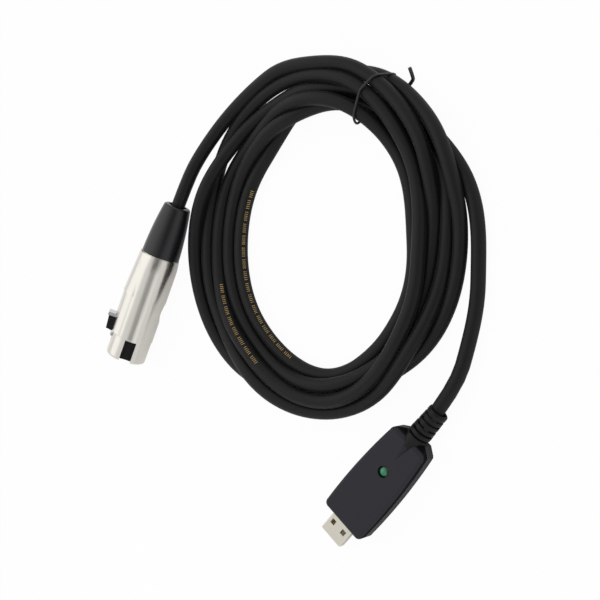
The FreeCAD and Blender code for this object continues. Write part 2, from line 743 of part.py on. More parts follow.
# USB adapter
def case_outline(height, inset=0.0):
    """Plan outline of the housing at a height, with sharp corners, as a wire."""
    half = CASE_WIDTH / 2
    front = 0.0
    back = -CASE_LENGTH
    points = [
        (front, half),
        ((front + back) / 2, half + CASE_BOW),
        (back + CASE_SHOULDER, half - CASE_TAPER),
        (back, CASE_END_HALF),
    ]
    left = [Vector(x, y, height) for x, y in points]
    right = [Vector(x, -y, height) for x, y in reversed(points)]
    edges = [
        Part.Arc(left[0], left[1], left[2]).toShape(),
        Part.LineSegment(left[2], left[3]).toShape(),
        Part.LineSegment(left[3], right[0]).toShape(),
        Part.LineSegment(right[0], right[1]).toShape(),
        Part.Arc(right[1], right[2], right[3]).toShape(),
        Part.LineSegment(right[3], left[0]).toShape(),
    ]
    wire = Part.Wire(edges)
    if inset:
        return wire.makeOffset2D(-inset)
    return wire


def case_block(low, high, inset=0.0):
    """Solid of the housing's outline between two heights, with its corners rounded."""
    block = Part.Face(case_outline(low, inset)).extrude(Vector(0, 0, high - low))
    end_line = -CASE_LENGTH + 0.7 * CASE_SHOULDER
    for radius, start, stop in (
        (CASE_CORNER, -CASE_CORNER, 1.0),
        (CASE_SHOULDER_R, end_line, end_line + CASE_SHOULDER),
        (CASE_END_R, -CASE_LENGTH - 1.0, end_line),
    ):
        corners = []
        for edge in block.Edges:
            extent = edge.BoundBox
            if extent.ZLength > (high - low) / 2 and start < extent.Center.x < stop:
                corners.append(edge)
        block = block.makeFillet(radius - min(inset, radius / 2), corners)
    return block


def edges_at(shape, height):
    """Edges that lie flat at a height."""
    boxes = [(edge, edge.BoundBox) for edge in shape.Edges]
    return [edge for edge, b in boxes if abs(b.ZMin - height) < 1e-3 and abs(b.ZMax - height) < 1e-3]


def valley():
    """Wedge that sinks the top face towards the strain relief."""
    back = -CASE_LENGTH + 1.0
    apex = -CASE_LENGTH + BEVEL_LENGTH + VALLEY_LENGTH
    over = CASE_HEIGHT + 0.4
    half = VALLEY_WIDTH / 2
    lean = half * VALLEY_LEAN
    low = CASE_HEIGHT - VALLEY_DEPTH
    wide = Part.makePolygon([Vector(back, -half, over), Vector(back, half, over), Vector(back, lean, low),
                             Vector(back, -half, over)])
    tip_half = half * 0.02
    tip = Part.makePolygon([Vector(apex, -tip_half, over), Vector(apex, tip_half, over),
                            Vector(apex, 0, over - 0.02), Vector(apex, -tip_half, over)])
    return Part.makeLoft([wide, tip], True, True)


def build_case():
    """Two halves of the adapter housing."""
    block = case_block(0, CASE_HEIGHT)
    block = block.makeFillet(CASE_FOOT_ROUND, edges_at(block, 0))
    block = block.makeFillet(CASE_TOP_ROUND, edges_at(block, CASE_HEIGHT))
    high_end = Vector(-CASE_LENGTH + BEVEL_LENGTH, -CASE_WIDTH, CASE_HEIGHT)
    turn = Vector(-CASE_LENGTH + BEVEL_TURN, -CASE_WIDTH, CASE_HEIGHT - BEVEL_DROP)
    low_end = Vector(-CASE_LENGTH, -CASE_WIDTH, CASE_HEIGHT - END_DROP)
    corner = high_end * 2 - turn
    below = low_end * 2 - turn
    beyond = Vector(below.x, below.y, corner.z)
    outline = Part.makePolygon([corner, turn, below, beyond, corner])
    bevel = Part.Face(outline).extrude(Vector(0, 2 * CASE_WIDTH, 0))
    block = block.cut(bevel).cut(valley())
    groove = case_block(CASE_SEAM - SEAM_GROOVE / 2, CASE_SEAM + SEAM_GROOVE / 2)
    groove = groove.cut(case_block(CASE_SEAM - SEAM_GROOVE, CASE_SEAM + SEAM_GROOVE, SEAM_GROOVE))
    room = case_block(CASE_WALL, CASE_HEIGHT - CASE_WALL, CASE_WALL)
    room = room.cut(box(-CASE_LENGTH, WALL_FRONT, -CASE_WIDTH, CASE_WIDTH, 0, CASE_HEIGHT))
    plug = box(-PLUG_IN, 1, -PLUG_WIDTH / 2 - 0.1, PLUG_WIDTH / 2 + 0.1,
               USB_Z - PLUG_HEIGHT / 2 - 0.1, USB_Z + PLUG_HEIGHT / 2 + 0.1)
    notch = relief_block(SEAT_GAP, 1.0)
    neck = cylinder(RELIEF_NECK_R + SEAT_GAP, -CASE_LENGTH, WALL_FRONT + 1, 0, USB_Z)
    led_hole = Part.makeCylinder(LENS_R + LENS_CLEAR, CASE_HEIGHT, Vector(-LED_BACK, 0, CASE_SEAM))
    shell = block.cut(groove).cut(room).cut(plug).cut(notch).cut(neck)
    above = box(-CASE_LENGTH - 5, 5, -CASE_WIDTH, CASE_WIDTH, CASE_SEAM, CASE_HEIGHT + 5)
    below = box(-CASE_LENGTH - 5, 5, -CASE_WIDTH, CASE_WIDTH, -5, CASE_SEAM)
    top = shell.common(above).cut(led_hole)
    bottom = shell.common(below)
    posts = []
    for x in (-PLUG_IN - 4.0, -BOARD_BACK + 4.0):
        for side in (-1, 1):
            y = side * (CASE_WIDTH / 2 - CASE_WALL - BOARD_MARGIN - 2.2)
            posts.append(Part.makeCylinder(1.4, BOARD_LIFT, Vector(x, y, CASE_WALL)))
    bottom = bottom.fuse(posts).removeSplitter()
    save("usb_case_top", top, USB_PLACE)
    save("usb_case_bottom", bottom, USB_PLACE)


def build_lens():
    """Green lens, sunk in its hole, with a flange under the top and a stem towards the lamp."""
    inside = CASE_HEIGHT - CASE_WALL
    face = CASE_HEIGHT - LENS_SINK
    flange = Part.makeCylinder(LENS_R + 0.9, LENS_FLANGE, Vector(-LED_BACK, 0, inside - LENS_FLANGE - 0.05))
    barrel = Part.makeCylinder(LENS_R, face - inside + 0.05, Vector(-LED_BACK, 0, inside - 0.05))
    dome = Part.makeSphere(LENS_R * 2, Vector(-LED_BACK, 0, face - LENS_R * 1.732))
    dome = dome.common(Part.makeCylinder(LENS_R, 2, Vector(-LED_BACK, 0, face)))
    stem = Part.makeCylinder(1.1, 1.6, Vector(-LED_BACK, 0, inside - LENS_FLANGE - 1.6))
    save("usb_led_lens", flange.fuse([barrel, dome, stem]).removeSplitter(), USB_PLACE)


def on_board(share):
    """Place along the adapter at a share of the board's length, from the plug's end."""
    return -BOARD_FRONT - share * (BOARD_BACK - BOARD_FRONT)


def build_board():
    """Circuit board and what is soldered to it."""
    half = CASE_WIDTH / 2 - CASE_WALL - BOARD_MARGIN
    board = box(-BOARD_BACK, -BOARD_FRONT, -half, half, BOARD_TOP - BOARD_THICKNESS, BOARD_TOP)
    save("usb_circuit_board", board, USB_PLACE)
    save("usb_led", box(-LED_BACK - 0.8, -LED_BACK + 0.8, -1.5, 1.5, BOARD_TOP, BOARD_TOP + 1.2), USB_PLACE)
    x = on_board(CHIP_SHARE)
    chip = box(x - 2.7, x + 2.7, -2.7, 2.7, BOARD_TOP, BOARD_TOP + 1.0)
    save("usb_audio_chip", chip, USB_PLACE)
    x = on_board(CRYSTAL_SHARE)
    crystal = box(x - 1.6, x + 1.6, 0.34 * half, 0.34 * half + 2.5, BOARD_TOP, BOARD_TOP + 0.9)
    save("usb_crystal", crystal.makeFillet(0.3, edges_at(crystal, BOARD_TOP + 0.9)), USB_PLACE)
    rear = on_board(REAR_CAN_SHARE)
    cans = [Part.makeCylinder(1.5, 2.6, Vector(spot, -0.62 * half, BOARD_TOP)) for spot in (rear, x)]
    cans.append(box(rear - 1.3, rear + 1.3, 0.53 * half, 0.53 * half + 1.8, BOARD_TOP, BOARD_TOP + 1.3))
    save("usb_capacitors", Part.makeCompound(cans), USB_PLACE)
    chips = []
    for i in range(6):
        x = on_board(RESISTOR_SHARE - RESISTOR_PITCH * (i % 3))
        y = 0.66 * half if i < 3 else -0.72 * half
        chips.append(box(x - 0.8, x + 0.8, y - 0.4, y + 0.4, BOARD_TOP, BOARD_TOP + 0.5))
    save("usb_resistors", Part.makeCompound(chips), USB_PLACE)


def build_plug():
    """USB-A plug: folded metal shell with two windows, insulating tongue and four contacts."""
    half = PLUG_WIDTH / 2
    low = USB_Z - PLUG_HEIGHT / 2
    high = USB_Z + PLUG_HEIGHT / 2
    shell = box(-PLUG_IN, PLUG_OUT, -half, half, low, high)
    long_edges = [e for e in shell.Edges if e.BoundBox.XLength > PLUG_OUT]
    shell = shell.makeFillet(0.5, long_edges)
    shell = shell.cut(box(-PLUG_IN + 0.6, PLUG_OUT + 1, -half + PLUG_WALL, half - PLUG_WALL,
                          low + PLUG_WALL, high - PLUG_WALL))
    window_x = PLUG_OUT - PLUG_WINDOW_BACK
    for side in (-1, 1):
        y = side * PLUG_WINDOW_PITCH / 2
        shell = shell.cut(box(window_x - PLUG_WINDOW / 2, window_x + PLUG_WINDOW / 2,
                              y - PLUG_WINDOW / 2, y + PLUG_WINDOW / 2, low - 1, high + 1))
    save("usb_plug_shell", shell, USB_PLACE)

    inner = half - PLUG_WALL - 0.05
    floor = low + PLUG_WALL + 0.05
    tongue = box(-PLUG_IN + 0.7, PLUG_OUT - 0.6, -inner, inner, floor, floor + TONGUE_HEIGHT)
    strips = []
    half = CONTACT_WIDTH / 2
    top = floor + TONGUE_HEIGHT
    for i in range(4):
        y = (i - 1.5) * CONTACT_PITCH
        slot = box(-PLUG_IN + 2.0, PLUG_OUT - 1.6, y - half - 0.05, y + half + 0.05, top - 0.3, top + 1)
        tongue = tongue.cut(slot)
        strips.append(box(-PLUG_IN + 2.1, PLUG_OUT - 1.7, y - half, y + half, top - 0.3, top - 0.05))
    save("usb_plug_tongue", tongue, USB_PLACE)
    save("usb_plug_contacts", Part.makeCompound(strips), USB_PLACE)


def relief_block(grow=0.0, past=0.0):
    """Round block of the relief that sits in the housing's end, flat below."""
    radius = RELIEF_BASE_R + grow
    block = cylinder(radius, -CASE_LENGTH - past, BLOCK_FRONT + grow, 0, USB_Z)
    return block.cut(box(-CASE_LENGTH - past - 1, BLOCK_FRONT + 1, -radius - 1, radius + 1,
                         USB_Z - radius - 1, RELIEF_BLOCK_LOW - grow))


def build_relief():
    """Strain relief with staggered slots, and the crimp on the cable's end."""
    back = -CASE_LENGTH
    rim = back - RELIEF_LENGTH
    round_r = 0.5
    swell = (back - 0.55 * RELIEF_LENGTH, RELIEF_BASE_R - 0.06)
    body = revolved([
        line((rim, 0), (rim, RELIEF_RIM_R - round_r)),
        bow(
            (rim, RELIEF_RIM_R - round_r),
            (rim + 0.293 * round_r, RELIEF_RIM_R - 0.293 * round_r),
            (rim + round_r, RELIEF_RIM_R),
        ),
        bow((rim + round_r, RELIEF_RIM_R), swell, (back, RELIEF_BASE_R)),
        *chain([(back, RELIEF_BASE_R), (back, 0), (rim, 0)]),
    ])
    body.translate(Vector(0, 0, USB_Z))
    neck = cylinder(RELIEF_NECK_R, back, WALL_FRONT + 1, 0, USB_Z)
    wide = RELIEF_FLANGE / 2
    flange = box(WALL_FRONT + SEAT_GAP, WALL_FRONT + SEAT_GAP + 1.4, -wide, wide,
                 CASE_WALL + SEAT_GAP, CASE_HEIGHT - CASE_WALL - SEAT_GAP)
    relief = body.fuse([relief_block(), neck, flange]).removeSplitter()
    pitch = (RELIEF_LENGTH - RELIEF_COLLAR - RELIEF_SLOT - 0.3) / (RELIEF_RINGS - 1)
    floor_r = CABLE_R + 0.1 + RELIEF_WALL
    for i in range(RELIEF_RINGS):
        start = rim + RELIEF_COLLAR + pitch * i
        ring = cylinder(RELIEF_BASE_R + 1, start, start + RELIEF_SLOT, 0, USB_Z)
        ring = ring.cut(cylinder(floor_r, start - 1, start + RELIEF_SLOT + 1, 0, USB_Z))
        web = box(start - 1, start + RELIEF_SLOT + 1, -RELIEF_WEB / 2, RELIEF_WEB / 2, -20, 20)
        web.rotate(Vector(0, 0, USB_Z), Vector(1, 0, 0), RELIEF_WEB_TILT + 90 * ((i + 1) % 2))
        relief = relief.cut(ring.cut(web))
    relief = relief.cut(cylinder(CABLE_R + 0.1, rim - 1, -CABLE_IN_CASE + 1, 0, USB_Z))
    save("usb_strain_relief", relief, USB_PLACE)

    crimp_end = -CABLE_IN_CASE - 0.2
    crimp = cylinder(CABLE_R + 0.5, crimp_end - CRIMP_LENGTH, crimp_end, 0, USB_Z)
    crimp = crimp.cut(cylinder(CABLE_R + 0.05, crimp_end - CRIMP_LENGTH - 1, crimp_end + 1, 0, USB_Z))
    save("usb_cable_crimp", crimp, USB_PLACE)


def build_usb_wires():
    """The three cores from the cable's end to the board."""
    names = ("usb_wire_hot", "usb_wire_cold", "usb_wire_drain")
    high = BOARD_TOP + CORE_D / 2
    for name, y in zip(names, (2.0, -2.0, 0.0)):
        path = [
            (-CABLE_IN_CASE, y * 0.8, USB_Z + 0.4),
            (-CABLE_IN_CASE + 2.0, y * 0.8, USB_Z + 0.4),
            (-BOARD_BACK + 1.4, y * 1.2, high),
            (-BOARD_BACK + 3.2, y * 1.2, high),
        ]
        edges, radii = rounded_route(path)
        save(name, tube(edges, CORE_D / 2), USB_PLACE)


PIECES = {}


def main():
    """Build every piece and print what was made."""
    os.makedirs("parts", exist_ok=True)
    build_cable()
    build_xlr_shell()
    build_xlr_insert()
    build_xlr_contacts()
    build_xlr_latch()
    build_xlr_boot()
    build_xlr_wires()
    build_case()
    build_lens()
    build_board()
    build_plug()
    build_relief()
    build_usb_wires()
    held = [shape for name, shape in PIECES.items() if not name.startswith(("cable", "twist"))]
    extent = FreeCAD.BoundBox()
    for shape in held:
        extent.add(shape.BoundBox)
    print("connectors' box", extent)


main()
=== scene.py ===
"""Dressed model of a coiled microphone cable with an audio connector and a USB adapter."""

import json
import logging
import math
from dataclasses import dataclass, field
from enum import Enum

import bmesh
import bpy
import numpy as np
from mathutils import Matrix, Vector

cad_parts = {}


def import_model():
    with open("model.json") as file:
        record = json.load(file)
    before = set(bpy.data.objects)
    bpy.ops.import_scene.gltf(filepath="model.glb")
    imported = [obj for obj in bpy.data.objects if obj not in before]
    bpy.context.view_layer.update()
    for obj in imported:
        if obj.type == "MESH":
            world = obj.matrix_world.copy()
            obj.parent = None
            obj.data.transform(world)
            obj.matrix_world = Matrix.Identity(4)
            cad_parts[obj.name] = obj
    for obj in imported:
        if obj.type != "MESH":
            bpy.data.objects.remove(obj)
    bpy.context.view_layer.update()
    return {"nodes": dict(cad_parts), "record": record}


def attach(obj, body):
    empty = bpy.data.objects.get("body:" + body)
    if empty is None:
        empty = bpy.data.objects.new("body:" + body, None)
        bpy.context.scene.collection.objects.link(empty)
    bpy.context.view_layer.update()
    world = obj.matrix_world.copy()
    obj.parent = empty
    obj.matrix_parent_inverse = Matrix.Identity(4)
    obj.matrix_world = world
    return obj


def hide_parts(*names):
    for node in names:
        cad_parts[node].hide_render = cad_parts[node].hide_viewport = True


Socket = bpy.types.NodeSocket
Material = bpy.types.Material
Pair = tuple[float, float]
Colour = Point = tuple[float, float, float]

LOG = logging.getLogger("cable")
MM = 0.001
CREASE = math.radians(40)
# The adapter box's front face on the table, the height of its axis, and how far behind the face its lamp sits.
ADAPTER_FACE = (40.40, -65.12)
ADAPTER_AXIS_HEIGHT = 5.3
LENS_BACK = 31.29


class Axis(Enum):
    """A connector's own directions, as turns of the table frame in degrees."""

    AUDIO = -114.05
    ADAPTER = -132.0


def metres(point: Vector | Point) -> Vector:
    """Return a point given in millimetres in metres."""
    return Vector(point) * MM


def adapter_place() -> Matrix:
    """Return the place of the adapter's own frame: millimetres, +X out of its plug, 0 at the box's front face."""
    move = Matrix.Translation(metres((*ADAPTER_FACE, 0.0)))
    return move @ Matrix.Rotation(math.radians(Axis.ADAPTER.value), 4, "Z") @ Matrix.Scale(MM, 4)


def shade(colour: Colour, factor: float = 1.0) -> tuple[float, float, float, float]:
    """Return an opaque colour, made lighter or darker."""
    return tuple(min(1.0, c * factor) for c in colour) + (1.0,)


def in_scene(name: str, data: bpy.types.ID) -> bpy.types.Object:
    """Make an object.

    Args:
        name: The object's name.
        data: Its mesh, curve, camera or lamp.

    Returns:
        The object, which is in the scene.
    """
    thing = bpy.data.objects.new(name, data)
    bpy.context.collection.objects.link(thing)
    return thing


# Nodes


class Wire:
    """A node's output, which takes part in arithmetic."""

    def __init__(self, graph: "Tree", socket: Socket) -> None:
        """Keep the output and the tree that it belongs to."""
        self.graph = graph
        self.socket = socket

    def _math(self, operation: str, *values: "Wire | float") -> "Wire":
        """Add a Math node on these values and return its result."""
        return self.graph.node("ShaderNodeMath", {"operation": operation}, dict(enumerate(values)))

    def __add__(self, other: "Wire | float") -> "Wire":
        """Return the sum."""
        return self._math("ADD", self, other)

    __radd__ = __add__

    def __sub__(self, other: "Wire | float") -> "Wire":
        """Return the difference."""
        return self._math("SUBTRACT", self, other)

    def __rsub__(self, other: "Wire | float") -> "Wire":
        """Return the difference from a number."""
        return self._math("SUBTRACT", other, self)

    def __mul__(self, other: "Wire | float") -> "Wire":
        """Return the product."""
        return self._math("MULTIPLY", self, other)

    __rmul__ = __mul__

    def remainder(self, period: float) -> "Wire":
        """Return what is left over after whole periods."""
        return self._math("MODULO", self, period)

    def below(self, level: "Wire | float") -> "Wire":
        """Return 1 where the value is below the level, and 0 elsewhere."""
        return self._math("LESS_THAN", self, level)

    def far(self, other: "Wire") -> "Wire":
        """Return the distance from the middle that these two distances give, at right angles to each other."""
        return self._math("SQRT", self * self + other * other)

    def size(self) -> "Wire":
        """Return the value without its sign."""
        return self._math("ABSOLUTE", self)

    def between(self, low: float, high: float) -> "Wire":
        """Return a smooth step that goes from 0 at low to 1 at high."""
        settings = {"interpolation_type": "SMOOTHSTEP"}
        return self.graph.node("ShaderNodeMapRange", settings, {0: self, 1: low, 2: high, 3: 0.0, 4: 1.0})


class Tree:
    """A tree of nodes, for a material or for a piece's geometry."""

    tree: bpy.types.NodeTree

    def put(self, target: Socket, value: object) -> None:
        """Link or set one input.

        Args:
            target: The input.
            value: The wire or the list of wires that it is linked to, or its plain value.
        """
        if isinstance(value, list):
            for item in value:
                self.put(target, item)
        elif isinstance(value, Wire):
            self.tree.links.new(value.socket, target)
        else:
            target.default_value = value

    def node(self, kind: str, settings: dict[str, object], inputs: dict[object, object], out: int | str = 0) -> Wire:
        """Add a node.

        Args:
            kind: The node's type.
            settings: What is set on the node before its sockets.
            inputs: Values or wires by the socket's name or number.
            out: The output that is wanted.

        Returns:
            The wanted output.
        """
        node = self.tree.nodes.new(kind)
        for key, value in settings.items():
            setattr(node, key, value)
        for key, value in inputs.items():
            self.put(node.inputs[key], value)
        return Wire(self, node.outputs[out])

    def vector(self, x: object, y: object, z: object) -> Wire:
        """Return a vector of three values."""
        return self.node("ShaderNodeCombineXYZ", {}, {0: x, 1: y, 2: z})


class Graph(Tree):
    """The node tree of one material."""

    def __init__(self, name: str, world: bpy.types.World | None = None) -> None:
        """Start an empty material, or an empty world, with its output and its main shader.

        Args:
            name: The material's name.
            world: The world, where the graph belongs to one.
        """
        self.material = None if world else bpy.data.materials.new(name)
        owner = world or self.material
        owner.use_nodes = True
        self.tree = owner.node_tree
        self.tree.nodes.clear()
        self.output = self.tree.nodes.new("ShaderNodeOutputWorld" if world else "ShaderNodeOutputMaterial")
        self.shader = self.tree.nodes.new("ShaderNodeBackground" if world else "ShaderNodeBsdfPrincipled")
        self.tree.links.new(self.shader.outputs[0], self.output.inputs[0])

    def set(self, **inputs: object) -> None:
        """Set the main shader's sockets, named with underscores for spaces."""
        for key, value in inputs.items():
            self.put(self.shader.inputs[key.replace("_", " ")], value)

    def cover(self, share: Wire, other: Wire) -> None:
        """Lay another shader over the main one, by its share from 0 to 1."""
        mixed = self.node("ShaderNodeMixShader", {}, {0: share, 1: Wire(self, self.shader.outputs[0]), 2: other})
        self.put(self.output.inputs[0], mixed)

    def place(self, turn: float = 0.0, stretch: Point = (1.0, 1.0, 1.0)) -> Wire:
        """Read Object coordinates.

        Args:
            turn: How far they are turned about Z, in degrees.
            stretch: What each of them is multiplied by.

        Returns:
            The coordinates in metres.
        """
        coords = self.node("ShaderNodeTexCoord", {}, {}, "Object")
        turned = self.node(
            "ShaderNodeVectorRotate", {"rotation_type": "Z_AXIS"}, {"Vector": coords, "Angle": math.radians(-turn)}
        )
        return self.node("ShaderNodeVectorMath", {"operation": "MULTIPLY"}, {0: turned, 1: stretch})

    def part(self, place: Wire, axis: str) -> Wire:
        """Return a place's X, Y or Z."""
        return self.node("ShaderNodeSeparateXYZ", {}, {0: place}, axis)

    def noise(self, place: Wire, scale: float, detail: float = 3.0) -> Wire:
        """Return noise at a scale in features per metre."""
        return self.node("ShaderNodeTexNoise", {}, {"Vector": place, "Scale": scale, "Detail": detail})

    def mix(self, factor: Wire | float, first: object, second: object) -> Wire:
        """Return a mix of two colours."""
        settings = {"data_type": "RGBA"}
        return self.node("ShaderNodeMix", settings, {0: factor, 6: first, 7: second}, 2)

    def bump(self, height: Wire, depth: float) -> Wire:
        """Return a normal raised by a height from 0 to 1, of a depth in millimetres."""
        return self.node("ShaderNodeBump", {}, {"Height": height, "Distance": depth * MM}, "Normal")


# Finishes


@dataclass(frozen=True)
class Finish:
    """What a finish of the part's pieces has in common with the others."""

    name: str
    colour: Colour

    def build(self) -> Material:
        """Make the material.

        Returns:
            The material with its nodes.
        """
        g = Graph(self.name)
        self.paint(g)
        return g.material

    def paint(self, g: Graph) -> None:
        """Set the main shader, as each finish does in its own way."""
        raise NotImplementedError


@dataclass(frozen=True)
class Moulded(Finish):
    """Moulded plastic or rubber: fine grain, slight mottling.

    Scales are in features per metre, and the grain's depth is in millimetres. Each wear is how far its
    noise moves the roughness.
    """

    roughness: float = 0.5
    grain: float = 0.02
    grain_scale: float = 2600.0
    mottle: float = 0.12
    shine: float = 0.22
    cloud_scale: float = 90.0
    grain_wear: float = 0.12
    cloud_wear: float = 0.1

    def paint(self, g: Graph) -> None:
        """Set the main shader.

        Args:
            g: The material's graph.
        """
        place = g.place()
        cloud = g.noise(place, self.cloud_scale, detail=4.0)
        fine = g.noise(place, self.grain_scale, detail=2.0)
        g.set(
            Base_Color=g.mix(cloud, shade(self.colour, 1 - self.mottle), shade(self.colour, 1 + self.mottle)),
            Roughness=self.roughness + (fine - 0.5) * self.grain_wear + (cloud - 0.5) * self.cloud_wear,
            Specular_IOR_Level=self.shine,
            Normal=g.bump(fine, self.grain),
        )


@dataclass(frozen=True)
class SplitShell(Moulded):
    """Moulded plastic of a box in two halves, with painted shade along the groove of the joint under the lid's edge.

    The painted shade is a dark matte line that lies at the seam's height, reaches the gap to each side of it, and is
    full over the core's share of that.
    """

    seam: float = 8.1
    gap: float = 1.9
    core: float = 0.6
    depth: float = 0.85
    # Colour of the painted shade in the joint's groove.
    painted_shade: Colour = (0.003, 0.003, 0.0036)

    def paint(self, g: Graph) -> None:
        """Set the main shader.

        Args:
            g: The material's graph.
        """
        super().paint(g)
        height = g.part(g.place(), "Z")
        # Painted shade: a dark matte diffuse laid over the band at the joint's groove.
        line = (height - self.seam * MM).size().between(self.gap * MM, self.gap * MM * self.core)
        g.cover(line * self.depth, g.node("ShaderNodeBsdfDiffuse", {}, {"Color": shade(self.painted_shade)}))


@dataclass(frozen=True)
class GroovedRubber(Moulded):
    """Soft rubber round an axis, with painted shade from the crests of its ribs down to the floor of its grooves."""

    axis: Pair = (0.0, 0.0)
    turn: float = 0.0
    floor: float = 4.15
    crest: float = 4.65
    # Colour of the painted shade at the floor of the grooves.
    painted_shade: Colour = (0.0006, 0.0006, 0.0006)

    def paint(self, g: Graph) -> None:
        """Set the main shader.

        Args:
            g: The material's graph.
        """
        super().paint(g)
        place = g.place(self.turn)
        across = g.part(place, "Y") - self.axis[0] * MM
        height = g.part(place, "Z") - self.axis[1] * MM
        # Painted shade in the grooves: darker from the crest radius down to the floor radius.
        groove_shade = across.far(height).between(self.crest * MM, self.floor * MM)
        plain = Wire(g, g.shader.inputs["Base Color"].links[0].from_socket)
        g.set(Base_Color=g.mix(groove_shade, plain, shade(self.painted_shade)))


@dataclass(frozen=True)
class SatinMetal(Finish):
    """Plated or rolled metal with fine marks along one direction, its turn in degrees."""

    roughness: float = 0.3
    turn: float = 0.0
    stretch: Point = (0.06, 1.0, 1.0)
    marks: float = 0.08
    marks_scale: float = 2400.0
    marks_depth: float = 0.004
    cloud_scale: float = 60.0
    cloud_wear: float = 0.06

    def paint(self, g: Graph) -> None:
        """Set the main shader.

        Args:
            g: The material's graph.
        """
        lines = g.noise(g.place(self.turn, self.stretch), self.marks_scale)
        cloud = g.noise(g.place(), self.cloud_scale)
        g.set(
            Base_Color=g.mix(cloud, shade(self.colour, 0.95), shade(self.colour, 1.04)),
            Metallic=1.0,
            Roughness=self.roughness + (lines - 0.5) * (self.marks * 2) + (cloud - 0.5) * self.cloud_wear,
            Normal=g.bump(lines, self.marks_depth),
        )


@dataclass(frozen=True)
class Jacket(Finish):
    """Soft black cable jacket: faint clouds over a fine grain, and a little sheen."""

    roughness: float = 0.5
    mottle: float = 0.15
    shine: float = 0.22
    cloud_scale: float = 55.0
    cloud_wear: float = 0.14
    grain: float = 0.02
    grain_scale: float = 1500.0
    grain_wear: float = 0.1
    grain_share: float = 0.6

    def paint(self, g: Graph) -> None:
        """Set the main shader.

        Args:
            g: The material's graph.
        """
        place = g.place()
        cloud = g.noise(place, self.cloud_scale, detail=4.0)
        fine = g.noise(place, self.grain_scale, detail=2.0)
        g.set(
            Base_Color=g.mix(cloud, shade(self.colour, 1 - self.mottle), shade(self.colour, 1 + self.mottle)),
            Roughness=self.roughness + (cloud - 0.5) * self.cloud_wear + (fine - 0.5) * self.grain_wear,
            Normal=g.bump(fine * self.grain_share + cloud * (1 - self.grain_share), self.grain),
            Specular_IOR_Level=self.shine,
            Sheen_Weight=0.06,
            Sheen_Roughness=0.35,
        )


@dataclass(frozen=True)
class PaintedGlowLens(Finish):
    """Clear green resin with a spotted glow painted into its middle, and painted shade that darkens it towards its rim.
    """

    # Colour of the painted glow in the middle of the lens.
    painted_glow: Colour
    turn: float = 0.0
    middle: Pair = (0.0, 0.0)
    strength: float = 0.14
    full_to: float = 0.9
    dark_from: float = 2.25
    # Colour of the painted shade at the lens's rim.
    rim: Colour = (0.001, 0.02, 0.009)
    spots: Pair = (0.54, 0.66)
    cloud_scale: float = 900.0
    cloud_wear: float = 0.1
    roughness: float = 0.12
    coat: float = 0.35

    def paint(self, g: Graph) -> None:
        """Set the main shader.

        Args:
            g: The material's graph.
        """
        cloud = g.noise(g.place(), self.cloud_scale, detail=2.0)
        spots = cloud.between(*self.spots)
        place = g.place(self.turn)
        along = g.part(place, "X") - self.middle[0] * MM
        across = g.part(place, "Y") - self.middle[1] * MM
        # Share of painted glow against painted rim shade: full within full_to of the middle, none beyond dark_from.
        painted_glow_share = along.far(across).between(self.dark_from * MM, self.full_to * MM)
        green = g.mix(cloud, shade(self.colour, 0.7), shade(self.colour, 1.2))
        painted_glow = g.mix(spots, shade(self.painted_glow, 0.3), shade(self.painted_glow))
        g.set(
            Base_Color=g.mix(painted_glow_share, shade(self.rim), green),
            Roughness=self.roughness + cloud * self.cloud_wear,
            Emission_Color=g.mix(painted_glow_share, shade((0.0, 0.0, 0.0)), painted_glow),
            Emission_Strength=self.strength,
            Coat_Weight=self.coat,
        )


@dataclass(frozen=True)
class Board(Finish):
    """Circuit board with faint traces."""

    line: Colour
    scale: float = 420.0
    width: float = 0.06
    depth: float = 0.03
    roughness: float = 0.3
    wear: float = 0.15

    def paint(self, g: Graph) -> None:
        """Set the main shader.

        Args:
            g: The material's graph.
        """
        place = g.place(Axis.ADAPTER.value)
        cells = g.node("ShaderNodeTexVoronoi", {"feature": "DISTANCE_TO_EDGE"}, {"Vector": place, "Scale": self.scale})
        tracks = cells.below(self.width)
        g.set(
            Base_Color=g.mix(tracks, shade(self.colour), shade(self.line)),
            Roughness=self.roughness + tracks * self.wear,
            Normal=g.bump(tracks, self.depth),
        )


